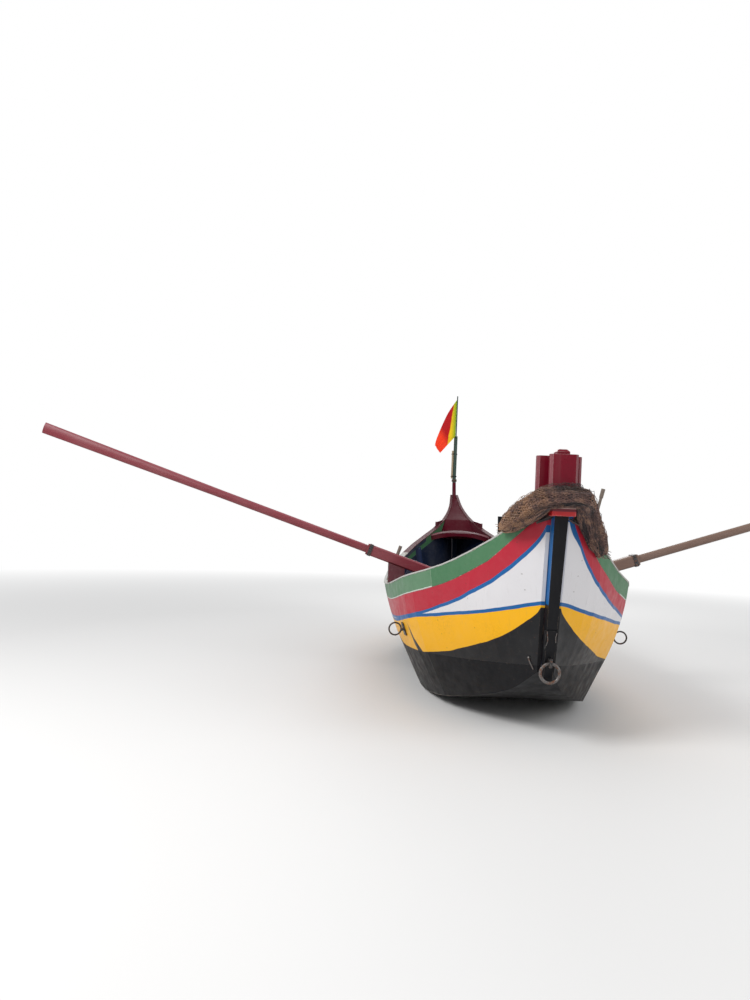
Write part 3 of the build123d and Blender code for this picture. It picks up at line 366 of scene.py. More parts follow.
def topside_paint():
    """Banded paint outside, dark blue inside."""
    g = Graph("topside paint")
    wobble = g.times(g.math("SUBTRACT", g.noise(9.0, detail=2.0), 0.5), 0.008)
    height = g.math("ADD", g.z, wobble)
    starboard = g.below(0.0, g.x, 0.001)
    red_foot = g.add("ShaderNodeMix", clamp_factor=True)
    g.fill(red_foot, {"Factor": starboard, 2: g.curve(PORT_RED_FOOT), 3: g.curve(STARBOARD_RED_FOOT)})
    red_foot = red_foot.outputs[0]
    white_foot = g.curve(WHITE_FOOT)
    yellow_foot = g.curve(YELLOW_FOOT)
    reach = g.math("ABSOLUTE", g.y)
    upper = g.band(reach, *RED_LINE)
    upper = g.math("MULTIPLY_ADD", g.band(reach, *RED_LINE_STARBOARD), starboard, upper)
    post_half = g.band(g.z, POST_FOOT[0], POST_HEAD[0], POST_FOOT[1], POST_HEAD[1])
    post_gap = g.math("SUBTRACT", g.math("ABSOLUTE", g.x), post_half)
    colour = g.mix(g.below(height, yellow_foot), YELLOW, BLACK)
    across = g.math("ADD", reach, g.times(g.z, NOTCH_LEAN))
    inner_edge = g.math("SUBTRACT", NOTCH_Y, g.band(g.z, 0.70, 0.50, 0.0, NOTCH_WIDTH))
    notch = g.times(g.below(across, NOTCH_Y), g.below(inner_edge, across))
    port_quarter = g.times(g.below(g.x, 0.0, 0.001), g.below(g.y, 0.0, 0.001))
    colour = g.mix(g.times(notch, port_quarter), colour, BLACK)
    over_low = g.below(g.math("SUBTRACT", white_foot, LINE_WIDTH), height)
    colour = g.mix(over_low, colour, BLUE)
    post_line = g.band(starboard, 0.0, 1.0, *POST_LINES)
    over_white = g.times(g.below(white_foot, height), g.below(post_line, post_gap))
    colour = g.mix(over_white, colour, WHITE)
    under_red = g.below(g.math("SUBTRACT", red_foot, upper), height)
    colour = g.mix(under_red, colour, BLUE)
    colour = g.mix(g.below(red_foot, height), colour, RED)
    colour = weather(g, colour, "Y", 0.06, 0.30, 0.16)
    spots = nail_heads(g)
    colour = g.mix(g.times(spots, 0.45), colour, linear(70, 46, 34))
    runs = g.noise(40.0, (1, 1, 0.04), detail=5.0, rough=0.6)
    colour = g.mix(g.band(runs, 0.60, 0.80, 0.0, 0.16), colour, linear(110, 96, 84))
    inner = weather(g, NAVY, "Y", 0.25, 0.5)
    inside = facing_in(g)
    colour = g.mix(inside, colour, inner)
    worn = g.times(g.edge_wear(amount=0.4), g.math("SUBTRACT", 1.0, inside))
    colour = g.mix(worn, colour, bare(g, RAW_WOOD, "Y"))
    return g.surface(colour, g.roughness(12.0, 0.30, 0.50), brushed(g, "Y", 0.22), specular=0.28)


EDGE_STEP = 0.12


def low_edge(node):
    """Heights of a plank's lowest edge along the boat, read from its mesh; it only bends upward."""
    lowest = {}
    for vertex in NODES[node].data.vertices:
        place = round(vertex.co.y / EDGE_STEP)
        if place not in lowest or vertex.co.z < lowest[place][1]:
            lowest[place] = (vertex.co.y, vertex.co.z)
    edge = []
    for y, z in (lowest[place] for place in sorted(lowest)):
        while len(edge) > 1:
            (before_y, before_z), (last_y, last_z) = edge[-2:]
            if (last_z - before_z) * (y - before_y) < (z - before_z) * (last_y - before_y):
                break
            edge.pop()
        edge.append((y, z))
    return edge


# Forward end of the bare wood along the bilge planks' lower edge
BARE_EDGE_Y = -2.4


def lower_hull_paint(name, plank):
    """Tarred black, scuffed by the beach, with the wood showing along its lower edge."""
    g = Graph(name)
    outside = weather(g, BLACK, "Y", 0.04, 0.4, 0.10)
    scuff = g.band(g.noise(5.0, (1, 0.35, 1), detail=9.0, rough=0.72), 0.60, 0.74)
    low = g.band(g.z, 0.55, 0.10)
    outside = g.mix(g.times(g.times(scuff, low), 0.28), outside, SCUFF)
    rubbed = g.band(g.noise(22.0, (1, 0.08, 1), detail=6.0, rough=0.7), 0.63, 0.74)
    outside = g.mix(g.times(rubbed, 0.10), outside, DUST)
    if plank:
        foot = g.curve(low_edge(plank), smooth=False)
        near = g.below(g.z, g.math("ADD", foot, 0.005), 0.002)
        broken = g.band(g.noise(7.0, detail=6.0, rough=0.7), 0.40, 0.55)
        near = g.times(near, g.below(BARE_EDGE_Y, g.y, 0.1))
        share = g.times(g.times(near, broken), 0.5)
        outside = g.mix(share, outside, linear(128, 116, 104))
    return g.surface(outside, g.roughness(10.0, 0.34, 0.60, 5.0), brushed(g, "Y", 0.35), specular=0.16)


# How far a face's normal points out or down before it counts as an outer face or an underside
OUTWARD = 0.35
DOWNWARD = -0.5


def lower_corner(node):
    """Points of a plank's lower outer corner, where an outer face meets an underside."""
    mesh = NODES[node].data
    side = 1 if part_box(node)[0].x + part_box(node)[1].x > 0 else -1
    seen = {}
    for face in mesh.polygons:
        out = face.normal.x * side > OUTWARD
        under = face.normal.z < DOWNWARD
        if not (out or under):
            continue
        for corner in face.vertices:
            key = tuple(round(c, 4) for c in mesh.vertices[corner].co)
            flags = seen.setdefault(key, [False, False])
            flags[0] |= out
            flags[1] |= under and not out
    return sorted((Vector(key) for key, flags in seen.items() if all(flags)), key=lambda p: p.y)


def strake_paint():
    """Green strake, bleached forward of its stern butt, with a thin white line on its lower edge."""
    g = Graph("sheer green")
    colour = weather(g, GREEN, "Y", 0.12, 0.30)
    ahead = g.below(SHEER_BUTT_Y, g.y, 0.002)
    port = g.below(g.x, 0.0, 0.001)
    sunned = g.band(g.noise(3.5, (1, 0.4, 1), detail=6.0, rough=0.65), 0.25, 0.75, 0.35, 1.0)
    share = g.times(g.times(ahead, sunned), g.band(port, 0.0, 1.0, 0.35, 0.95))
    colour = g.mix(share, colour, BLEACHED_GREEN)
    wobble = g.times(g.math("SUBTRACT", g.noise(12.0, detail=2.0), 0.5), 0.006)
    height = g.math("ADD", g.z, wobble)
    table = []
    for corner in lower_corner("sheer_strake_starboard"):
        if not table or corner.y - table[-1][0] > 0.08:
            table.append((corner.y, corner.z))
    foot = g.curve(table, smooth=False)
    white = g.below(height, g.math("ADD", foot, 0.009))
    dark = g.below(height, g.math("ADD", foot, 0.004))
    colour = g.mix(g.times(white, ahead), colour, linear(214, 214, 206))
    colour = g.mix(g.times(dark, 0.6), colour, linear(40, 40, 36))
    lean = g.math("ADD", g.y, g.times(g.z, -SHEER_BUTT_LEAN))
    joint = g.below(g.math("ABSOLUTE", g.math("SUBTRACT", lean, SHEER_BUTT_GROUND_Y)), 0.0016, 0.001)
    colour = g.mix(g.times(joint, 0.45), colour, linear(170, 180, 164))
    colour = g.mix(g.times(nail_heads(g, pitch_z=0.062), 0.4), colour, linear(52, 60, 48))
    by_oar = g.below(g.math("ABSOLUTE", g.math("ADD", g.y, RUBBED_AFT)), RUBBED_HALF, 0.08)
    inner = g.mix(by_oar, weather(g, NAVY, "Y", 0.15, 0.5), weather(g, CREAM, "Y", 0.2, 0.6))
    inner = g.mix(g.below(BOW_WINE_Y, g.y, 0.002), inner, g.mix(port, WINE, GREEN))
    colour = g.mix(facing_in(g), colour, inner)
    worn = g.edge_wear(radius=0.008, amount=0.7)
    colour = g.mix(worn, colour, linear(206, 204, 190))
    return g.surface(colour, g.roughness(12.0, 0.40, 0.60), brushed(g, "Y", 0.28))


def capping_paint():
    """Pale capping, creamy where hands and lines wear it, dark red round the bow."""
    g = Graph("cap white")
    paint = weather(g, linear(180, 180, 176), "Y", 0.15, 0.6)
    rubbed = g.band(g.noise(4.0, (1, 0.3, 1), detail=6.0, rough=0.7), 0.55, 0.68)
    paint = g.mix(g.times(rubbed, 0.7), paint, bare(g, linear(168, 150, 110), "Y"))
    paint = g.mix(g.below(BOW_WINE_Y, g.y, 0.002), paint, weather(g, WINE, "Y", 0.12, 0.3))
    worn = g.edge_wear(radius=0.004, amount=0.9)
    colour = g.mix(worn, paint, linear(150, 140, 120))
    return g.surface(colour, 0.52, brushed(g, "Y", 0.3))


def deck_paint(name, edge, specular):
    """Dark red with worn edges, and a painted highlight on its aft face by a given share."""
    g = Graph(name)
    colour = weather(g, WINE, "Y", 0.12, 0.3)
    # Painted highlight: aft-facing faces lightened, standing in for light along the deck's edge
    aft = g.below(g.facing()[1], -0.6, 0.05)
    colour = g.mix(g.times(aft, edge), colour, linear(186, 132, 138))
    worn = g.edge_wear(radius=0.004, amount=0.3)
    colour = g.mix(worn, colour, linear(150, 92, 102))
    return g.surface(colour, g.roughness(9.0, 0.34, 0.54), brushed(g, "Y", 0.18), specular=specular)


def stern_cap_paint():
    """Dark red board with a painted highlight along its top, worn edges and a bright band round its foot."""
    g = Graph("stern cap red")
    low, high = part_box("stern_cap")
    colour = weather(g, BITT_RED, "X", 0.15, 0.3)
    band = g.below(g.z, low.z + 0.030)
    colour = g.mix(band, colour, linear(190, 30, 34))
    # Painted highlight: the top 6 mm lightened, standing in for light on the top face
    top_highlight = g.below(high.z - 0.006, g.z)
    colour = g.mix(g.times(top_highlight, 0.75), colour, linear(206, 172, 166))
    worn = g.edge_wear(radius=0.008, amount=0.8)
    colour = g.mix(worn, colour, linear(206, 172, 160))
    return g.surface(colour, 0.35, brushed(g, "X", 0.3), coat=0.15)


# Where the net gets a painted highlight to port, and a painted shadow over the sternpost: from, to
NET_HIGHLIGHT_X = (-0.12, -0.26)
NET_SHADE_X = (0.15, 0.06)
NET_SHADE_Z = (1.84, 1.87)
# Border of the flag's colours: height that its lean is counted from, lean, and its x there
FLAG_HEAD_Z = 3.74
FLAG_BORDER_LEAN = 0.13
FLAG_BORDER_X = -0.046


def net_cord_material(name, tone, light):
    """Twine in patches of two tones, with painted shade in the gaps between its folds, a painted highlight to
    port and a painted shadow over the sternpost.
    """
    g = Graph(name)
    thick = g.noise(9.0, detail=4.0, warp=0.6)
    fine = g.noise(90.0, detail=7.0, rough=0.75)
    tan = g.mix(g.band(thick, 0.43, 0.57), tone, light)
    # Painted shade: dark gaps between the folds
    fold_shade = g.band(g.noise(44.0, (1, 0.6, 1), detail=4.0, warp=0.8), 0.55, 0.64)
    tan = g.mix(g.times(fold_shade, 0.5), tan, linear(30, 24, 28))
    # Painted highlight: the port side is lightened where light falls on it
    sunned = g.times(g.band(g.x, *NET_HIGHLIGHT_X), g.band(g.noise(14.0, detail=3.0), 0.42, 0.56))
    tan = g.mix(g.times(sunned, 0.6), tan, linear(204, 156, 114))
    # Painted shadow: a dark patch on the roll's top above the sternpost
    hollow_shade = g.times(g.band(g.math("ABSOLUTE", g.x), *NET_SHADE_X), g.band(g.z, *NET_SHADE_Z))
    tan = g.mix(g.times(hollow_shade, 0.75), tan, linear(26, 22, 30))
    colour = g.mix(g.band(fine, 0.35, 0.72), g.mix(1.0, tan, (0.40, 0.36, 0.34), "MULTIPLY"), tan)
    return g.surface(colour, 0.9, g.bump(fine, 0.8, 0.004), sheen=0.15)


def flag_material():
    """Two plain colours, yellow-green by the stick and orange-red on the fly."""
    g = Graph("flag cloth")
    edge = g.math("ADD", g.x, g.times(g.math("SUBTRACT", FLAG_HEAD_Z, g.z), FLAG_BORDER_LEAN))
    sway = g.times(g.math("SUBTRACT", g.noise(8.0, detail=2.0), 0.5), 0.02)
    fly = g.below(g.math("ADD", edge, sway), FLAG_BORDER_X, 0.006)
    hoist = g.mix(g.band(g.x, -0.09, -0.02), linear(232, 190, 24), linear(128, 164, 22))
    shaded = g.band(g.math("ADD", g.times(g.x, 1.6), g.z), 2.72, 2.90)
    red = g.mix(shaded, linear(240, 62, 26), linear(176, 16, 20))
    colour = g.mix(fly, hoist, red)
    weave = g.noise(240.0, detail=2.0)
    thin = g.mix(1.0, colour, (0.6, 0.6, 0.6), "MULTIPLY")
    colour = g.mix(g.band(weave, 0.3, 0.7, 0.0, 0.25), colour, thin)
    cloth = g.shader(colour, 0.8, g.bump(weave, 0.3, 0.002), sheen=0.3)
    glow = g.add("ShaderNodeBsdfTranslucent")
    g.feed(glow.inputs["Color"], colour)
    return g.blend(0.5, cloth, glow.outputs[0])


def bitt_paint():
    """Dark red boards whose chamfers are faintly picked out in white."""
    g = Graph("stern head paint")
    colour = weather(g, BITT_RED, "Z", 0.12, 0.3)
    normal = g.facing()
    nx = g.math("ABSOLUTE", normal[0])
    ny = g.math("ABSOLUTE", normal[1])
    slanted = g.times(g.below(0.25, nx, 0.02), g.below(0.25, ny, 0.02))
    colour = g.mix(g.times(slanted, 0.16), colour, linear(178, 156, 158))
    top = g.below(0.8, normal[2], 0.05)
    colour = g.mix(g.times(top, 0.8), colour, bare(g, linear(140, 134, 120), "X"))
    worn = g.edge_wear(radius=0.005, amount=1.6)
    colour = g.mix(g.times(worn, 0.9), colour, linear(206, 190, 186))
    chips = g.band(g.noise(28.0, (1, 1, 0.4), detail=7.0, rough=0.75), 0.70, 0.74)
    colour = g.mix(g.times(chips, 0.6), colour, linear(176, 150, 140))
    return g.surface(colour, g.roughness(14.0, 0.26, 0.46), brushed(g, "Z", 0.3), coat=0.04, specular=0.25)


# The stem's rebate: its distance from midships at the ground, and its rake
STEM_REBATE = (2.79, 0.36)
POST_BLUE_Z = 1.06
STEM_NAVY_TOP_Z = 1.75


def sternpost_paint():
    """Black sternpost whose sides carry the blue line down to the white's foot."""
    g = Graph("sternpost paint")
    colour = weather(g, BLACK, "Z", 0.04, 0.4)
    sides = g.below(0.8, g.math("ABSOLUTE", g.facing()[0]), 0.05)
    colour = g.mix(g.times(sides, g.below(POST_BLUE_Z, g.z, 0.004)), colour, BLUE)
    worn = g.edge_wear(radius=0.006, amount=0.8)
    colour = g.mix(worn, colour, bare(g, linear(140, 118, 98), "Z"))
    return g.surface(colour, 0.42, brushed(g, "Z", 0.4), specular=0.2)


def stem_paint():
    """Matt dark red stem, navy where it stands inside the planking."""
    g = Graph("stem paint")
    colour = weather(g, WINE, "Z", 0.10, 0.3)
    rebate = g.math("MULTIPLY_ADD", g.z, STEM_REBATE[1], STEM_REBATE[0])
    inside = g.times(g.below(g.y, rebate, 0.002), g.below(g.z, STEM_NAVY_TOP_Z, 0.01))
    colour = g.mix(inside, colour, weather(g, NAVY, "Z", 0.15, 0.4))
    worn = g.times(g.edge_wear(radius=0.004, amount=0.3), g.math("SUBTRACT", 1.0, inside))
    colour = g.mix(worn, colour, bare(g, RAW_WOOD, "Z"))
    return g.surface(colour, 0.6, brushed(g, "Z", 0.25), specular=0.08)


def oar_paint(name, tone, top):
    """Painted oar, paler in patches on its upward faces."""
    g = Graph(name)
    paint = weather(g, tone, "X", 0.2, 0.4)
    up = g.band(g.facing()[2], 0.45, 0.90)
    patchy = g.band(g.noise(5.0, (0.3, 1, 1), detail=6.0, rough=0.7), 0.3, 0.7, 0.45, 1.0)
    paint = g.mix(g.times(g.times(up, patchy), 0.75), paint, top)
    worn = g.edge_wear(radius=0.006, amount=0.8)
    colour = g.mix(worn, paint, bare(g, GREY_WOOD, "X"))
    return g.surface(colour, 0.5, brushed(g, "X", 0.45), coat=0.05)


def dress(look, *names):
    for name in names:
        slots = NODES[name].data.materials
        slots.clear()
        slots.append(MAT[look])


def both_sides(name):
    return (name + "_port", name + "_starboard")


MAT = {
    "topside": topside_paint(),
    "bilge": lower_hull_paint("bilge paint", "bilge_plank_starboard"),
    "bottom": lower_hull_paint("bottom paint", None),
    "strake": strake_paint(),
    "cap": capping_paint(),
    "deck": deck_paint("foredeck red", 0.5, 0.25),
    "hood": deck_paint("hood red", 0.0, 0.06),
    "navy": painted("inner blue", NAVY, "Y", 0.5, 0.6, 0.25, 0.5),
    "frame": painted("frame blue", linear(8, 36, 78), "Z", 0.5, 0.6, 0.2, 0.5),
    "bracket": painted("bracket blue", NAVY, "X", 0.34, 1.0, 0.15, 0.3, under=linear(170, 172, 176)),
    "wine": painted("dark red", WINE, "Z", 0.30, 0.5, 0.10, 0.3, coat=0.25),
    "bitt": bitt_paint(),
    "stem": stem_paint(),
    "sternpost": sternpost_paint(),
    "strap": painted("strap black", linear(14, 14, 18), "Z", 0.5, 0.5, 0.04, 0.4, specular=0.2,
                     under=linear(168, 164, 158)),
    "pale_ring": painted("pale ring", linear(196, 192, 184), "X", 0.5, 0.6, 0.1, 0.5),
    "post": painted("post black", BLACK, "Z", 0.40, 0.8, 0.04, 0.4, bump=0.4, specular=0.2,
                    under=linear(140, 118, 98)),
    "thwart": painted("thwart red", RED, "X", 0.5, 0.8, 0.25, 0.5),
    "boards": timber("bare boards", linear(112, 92, 74), "Y"),
    "crimson": oar_paint("oar crimson", CRIMSON, linear(168, 96, 104)),
    "grey": oar_paint("oar brown", GREY_WOOD, linear(146, 120, 104)),
    "pole": painted("pole green", POLE_GREEN, "Z", 0.4, 0.4, 0.15, 0.3),
    "cane": timber("cane", CANE, "Z", 0.6),
    "iron": iron("iron", linear(46, 45, 47), 0.35),
    "galvanised": iron("galvanised", linear(96, 92, 90), 0.5),
    "stern_cap": stern_cap_paint(),
    "wedge": painted("wedge red", WINE, "Y", 0.4, 0.7, 0.2, 0.4),
    "peg": timber("peg", linear(112, 92, 76), "Z"),
    "pin": timber("pin", linear(104, 84, 70), "Z"),
    # On the net, the tan and dark tones are lit and shaded copies of one twine: a painted highlight and painted
    # shade
    "net_tan": net_cord_material("net tan", linear(182, 142, 116), linear(132, 100, 92)),
    "net_brown": net_cord_material("net brown", linear(116, 86, 78), linear(72, 54, 54)),
    "net_dark": net_cord_material("net dark", linear(34, 27, 32), linear(54, 40, 40)),
    "rope": net_cord_material("rope", ROPE, linear(170, 132, 104)),
    "flag": flag_material(),
}

dress("topside", *both_sides("side_planking"))
dress("bilge", *both_sides("bilge_plank"))
dress("bottom", "bottom_planking")
dress("strake", *both_sides("sheer_strake"))
dress("cap", *both_sides("gunwale_cap"))
dress("navy", "thwart_cleats", *both_sides("inwale"))
dress("frame", "frames")
dress("bracket", "thwart_bracket")
dress("stem", "stem")
dress("wine", *both_sides("bow_cheek"))
dress("deck", "foredeck", "aft_deck")
dress("hood", "foredeck_beam", "bow_hood", "aft_deck_beam")
dress("bitt", "stern_head_post", "stern_head_aft_wing", "stern_head_fore_wing")
dress("stern_cap", "stern_cap")
dress("wedge", *both_sides("oar_wedge"))
dress("sternpost", "sternpost")
dress("post", "gunwale_post")
dress("thwart", "thwart_aft", "thwart_middle", "thwart_fore")
dress("boards", "floor_boards")
dress("crimson", "oar_loom_port", "oar_blade_port")
dress("grey", "oar_loom_starboard", "oar_blade_starboard")
dress("iron", *both_sides("oar_band"), *both_sides("side_eye"), "stern_eye")
dress("strap", "stern_strap")
dress("galvanised", "stern_ring")
dress("pole", "flagpole", "flagstick")
dress("cane", "pole_splint")
dress("peg", "quarter_peg")
dress("pin", *both_sides("thole_pin"))


def add_to_scene(name, data):
    obj = bpy.data.objects.new(name, data)
    bpy.context.scene.collection.objects.link(obj)
    return obj


def new_object(name, vertices, faces, material, body="hull"):
    """Smooth-shaded piece on one of the part's bodies, with one material."""
    mesh = bpy.data.meshes.new(name)
    mesh.from_pydata([tuple(v) for v in vertices], [], faces)
    mesh.validate()
    mesh.polygons.foreach_set("use_smooth", [True] * len(mesh.polygons))
    obj = add_to_scene(name, mesh)
    mesh.materials.append(material)
    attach(obj, body)
    return obj


class Tubes:
    """Many thin tubes gathered into one mesh."""

    def __init__(self):
        self.vertices = []
        self.faces = []

    def add(self, points, radius, sides=5, closed=False):
        count = len(points)
        start = len(self.vertices)
        radii = radius if isinstance(radius, (list, tuple)) else [radius] * count
        side = None
        for index, point in enumerate(points):
            if closed:
                before = points[index - 1]
                after = points[(index + 1) % count]
            else:
                before = points[max(index - 1, 0)]
                after = points[min(index + 1, count - 1)]
            along = (after - before).normalized()
            if side is None:
                side = along.orthogonal().normalized()
            side = (side - along * side.dot(along)).normalized()
            other = along.cross(side)
            for step in range(sides):
                turn = 2 * math.pi * step / sides
                self.vertices.append(point + (side * math.cos(turn) + other * math.sin(turn)) * radii[index])
        loops = count if closed else count - 1
        for ring in range(loops):
            low = start + ring * sides
            high = start + ((ring + 1) % count) * sides
            for step in range(sides):
                turn = (step + 1) % sides
                self.faces.append((low + step, low + turn, high + turn, high + step))
        if not closed:
            self.faces.append(tuple(reversed(range(start, start + sides))))
            self.faces.append(tuple(range(start + (count - 1) * sides, start + count * sides)))

    def build(self, name, material, slot):
        return new_object(name, self.vertices, self.faces, material)


def smooth_path(points, steps):
    """Catmull-Rom curve through points."""
    path = []
    for index in range(len(points) - 1):
        a = points[max(index - 1, 0)]
        b = points[index]
        c = points[index + 1]
        d = points[min(index + 2, len(points) - 1)]
        for step in range(steps):
            t = step / steps
            path.append(0.5 * ((2 * b) + (c - a) * t + (2 * a - 5 * b + 4 * c - d) * t * t
                               + (3 * b - 3 * c + d - a) * t * t * t))
    path.append(points[-1].copy())
    return path


# Middle line of the net roll from port to starboard, and how thick it is: (x, y, z, radius)
NET_ROUTE = [
    (-0.345, -3.330, 1.600, 0.052), (-0.300, -3.400, 1.632, 0.086), (-0.225, -3.560, 1.712, 0.105),
    (-0.130, -3.695, 1.800, 0.094), (0.0, -3.745, 1.820, 0.086), (0.120, -3.700, 1.812, 0.086),
    (0.182, -3.560, 1.752, 0.090), (0.255, -3.420, 1.640, 0.095), (0.330, -3.310, 1.532, 0.095),
    (0.395, -3.215, 1.452, 0.074),
]
NET_STEPS = 10
# How far from the roll's middle line a ray starts that looks for its skin
SKIN_RAY = 0.4


class NetRoll:
    """The roll's middle line, with a way to find its skin, which hugs the hull below it."""

    def __init__(self):
        self.path = smooth_path([Vector(spot[:3]) for spot in NET_ROUTE], NET_STEPS)
        self.count = len(self.path)
        self.radii = []
        for index in range(self.count):
            low = min(index // NET_STEPS, len(NET_ROUTE) - 2)
            share = index / NET_STEPS - low
            self.radii.append(NET_ROUTE[low][3] * (1 - share) + NET_ROUTE[low + 1][3] * share)
        mesh = NODES["net_bundle"].data
        self.skin = BVHTree.FromPolygons([v.co for v in mesh.vertices], [f.vertices for f in mesh.polygons])
        self.axes = []
        for index in range(self.count):
            ahead = self.path[min(index + 1, self.count - 1)]
            along = (ahead - self.path[max(index - 1, 0)]).normalized()
            out = along.cross(Vector((0, 0, 1))).normalized()
            self.axes.append((along, out, out.cross(along).normalized()))

    def spot(self, index, angle, depth, thick):
        """Point at an angle round the roll, a share of the way to its skin."""
        out, up = self.axes[index][1:]
        heading = out * math.cos(angle) + up * math.sin(angle)
        centre = self.path[index]
        hit = self.skin.ray_cast(centre + heading * SKIN_RAY, -heading, SKIN_RAY)[0]
        reach = self.radii[index] * 0.9
        if hit is not None and (hit - centre).dot(heading) > 0.008:
            reach = (hit - centre).length
        return centre + heading * max(reach * depth - thick, 0.0)


def grooves(share, angle):
    """How far the bundle swells or sinks, as a share of its radius: its hollows wind along it."""
    winding = math.sin(5 * angle - 7 * share) * math.sin(2 * angle + 5 * share + 1)
    return 0.13 * winding + 0.05 * math.sin(29 * share + 3 * angle) - 0.03


def net_strand(roll, rng, tubes, depth_low, depth_high, thin, thick, relief):
    """One strand of the bundled net, running part of the way along the roll."""
    turn = rng.uniform(0, 2 * math.pi)
    depth = rng.uniform(depth_low, depth_high)
    drift = rng.uniform(-2.6, 2.6)
    phase = rng.uniform(0, 6.28)
    wire = rng.uniform(thin, thick)
    first = rng.choice([0, rng.randrange(0, roll.count // 2)])
    last = rng.choice([roll.count, rng.randrange(roll.count // 2, roll.count)])
    if last - first < 14:
        first, last = 0, roll.count
    points = []
    for index in range(first, last):
        share = index / (roll.count - 1)
        sway = 0.30 * math.sin(phase + 11 * share) + 0.10 * math.sin(3 * phase + 41 * share)
        angle = turn + drift * share + sway
        swell = relief * grooves(share, angle)
        if swell > 0:
            swell *= max(math.sin(angle), 0.0)
        wave = depth + swell + rng.uniform(-0.02, 0.02)
        points.append(roll.spot(index, angle, wave, wire))
    tubes.add(points, wire, 4)


def net_loop(roll, rng, tubes):
    """A slack loop of twine that stands off the top of the bundle."""
    index = rng.randrange(2, roll.count - 10)
    angle = rng.uniform(0.2, 2.9)
    sweep = rng.uniform(-0.7, 0.7)
    reach = rng.randrange(3, 8)
    lift = rng.uniform(0.006, 0.030)
    points = []
    for step in range(9):
        share = step / 8
        away = 4 * share * (1 - share) * lift
        place = index + round(share * reach)
        spot = roll.spot(place, angle + sweep * share, 1.0, 0.0)
        points.append(spot + Vector((0, -0.3, 1)).normalized() * away)
    tubes.add(smooth_path(points, 2), rng.uniform(0.0010, 0.0020), 4)


def net_fray(roll, rng, tubes, end):
    """A loose end of twine at one end of the bundle."""
    index = 0 if end < 0 else roll.count - 1
    along = roll.axes[index][0] * end
    start = roll.spot(index, rng.uniform(0, 2 * math.pi), rng.uniform(0.4, 1.0), 0.002)
    sideways = Vector((rng.uniform(-0.3, 0.3), rng.uniform(-0.5, 0.1), rng.uniform(0.0, 0.5)))
    length = rng.uniform(0.012, 0.045 if end < 0 else 0.080)
    points = []
    for step in range(5):
        share = step / 4
        points.append(start + (along + sideways * share) * length * share)
    tubes.add(points, rng.uniform(0.0010, 0.0024), 4)


MESH_TURNS = 16
MESH_WIRE = 0.0024


def net_meshes(roll, tubes):
    """Diamond meshes of loose netting over the roll."""
    rng = random.Random(23)
    knots = {}
    for row in range(roll.count):
        for column in range(MESH_TURNS + 1):
            lean = 0.5 if row % 2 else 0.0
            angle = -0.5 + 3.9 * (column + lean + rng.uniform(-0.22, 0.22)) / MESH_TURNS
            knots[row, column] = roll.spot(row, angle, rng.uniform(1.0, 1.05), MESH_WIRE)
    for (row, column), here in knots.items():
        side = column + (1 if row % 2 else -1)
        for other in (column, side):
            if (row + 1, other) in knots:
                there = knots[row + 1, other]
                sag = here.lerp(there, 0.5) + Vector((0, 0, -0.002))
                tubes.add([here, sag, there], MESH_WIRE, 4)


# What the bundle is made of: (colour, strands, depth from, depth to, thinnest, thickest wire, relief)
# The tan outer strands carry a painted highlight and the dark inner strands painted shade, on one kind of twine
NET_LAYERS = [
    ("dark", 110, 0.84, 0.94, 0.003, 0.006, 0.0),
    ("brown", 230, 0.91, 1.0, 0.0012, 0.0034, 1.0),
    ("tan", 190, 0.94, 1.0, 0.0010, 0.0030, 1.2),
]

LOOSE_LOOPS = 230
FRAYED_ENDS = 60
CORE_SHARE = 0.45


def net():
    roll = NetRoll()
    rng = random.Random(7)
    pieces = {}
    for tone, count, near, far, thin, thick, relief in NET_LAYERS:
        pieces[tone] = Tubes()
        for _ in range(count):
            net_strand(roll, rng, pieces[tone], near, far, thin, thick, relief)
    for _ in range(LOOSE_LOOPS):
        net_loop(roll, rng, pieces[rng.choice(["brown", "tan"])])
    for end in (-1, 1):
        for _ in range(FRAYED_ENDS):
            net_fray(roll, rng, pieces[rng.choice(["brown", "tan"])], end)
    meshes = Tubes()
    net_meshes(roll, meshes)
    # Dark core: painted shade standing in for the shaded inside of the roll
    core = Tubes()
    core.add(roll.path, [radius * CORE_SHARE for radius in roll.radii], 14)
    bundle = pieces["brown"].build("net_strands", MAT["net_brown"], slot="net")
    pieces["dark"].build("net_strands_dark", MAT["net_dark"], slot="net")
    pieces["tan"].build("net_strands_tan", MAT["net_tan"], slot="net")
    meshes.build("net_meshes", MAT["net_tan"], slot="net")
    core.build("net_core", MAT["net_dark"], slot="net")
    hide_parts("net_bundle")


net()


# The hanging flag's upper and lower edges from the stick to the fly: (x, z)
FLAG_Y = 3.556
FLAG_TOP = [(-0.012, 3.737), (-0.164, 3.487), (-0.310, 3.122), (-0.347, 2.977)]
FLAG_LOW = [(-0.014, 3.135), (-0.107, 3.024), (-0.200, 2.915), (-0.255, 2.850)]
FLAG_ROWS = 12
FLAG_ACROSS = 24
FLAG_FOLD = 0.016
FLAG_SAG = 0.010


def flag():
    top = smooth_path([Vector((x, FLAG_Y, z)) for x, z in FLAG_TOP], FLAG_ROWS)
    low = smooth_path([Vector((x, FLAG_Y, z)) for x, z in FLAG_LOW], FLAG_ROWS)
    vertices = []
    for row, (a, b) in enumerate(zip(top, low)):
        t = row / (len(top) - 1)
        for step in range(FLAG_ACROSS + 1):
            s = step / FLAG_ACROSS
            spot = a.lerp(b, s)
            fold = math.sin(s * math.pi * (2.2 + 2.6 * t) + 1.7 * t) * FLAG_FOLD * min(1.0, t * 3)
            spot.y += fold
            spot.z -= FLAG_SAG * t * math.sin(s * math.pi)
            vertices.append(spot)
    faces = []
    for row in range(len(top) - 1):
        for step in range(FLAG_ACROSS):
            i = row * (FLAG_ACROSS + 1) + step
            faces.append((i, i + 1, i + FLAG_ACROSS + 2, i + FLAG_ACROSS + 1))
    obj = new_object("flag_cloth", vertices, faces, MAT["flag"])
    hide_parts("flag")


flag()


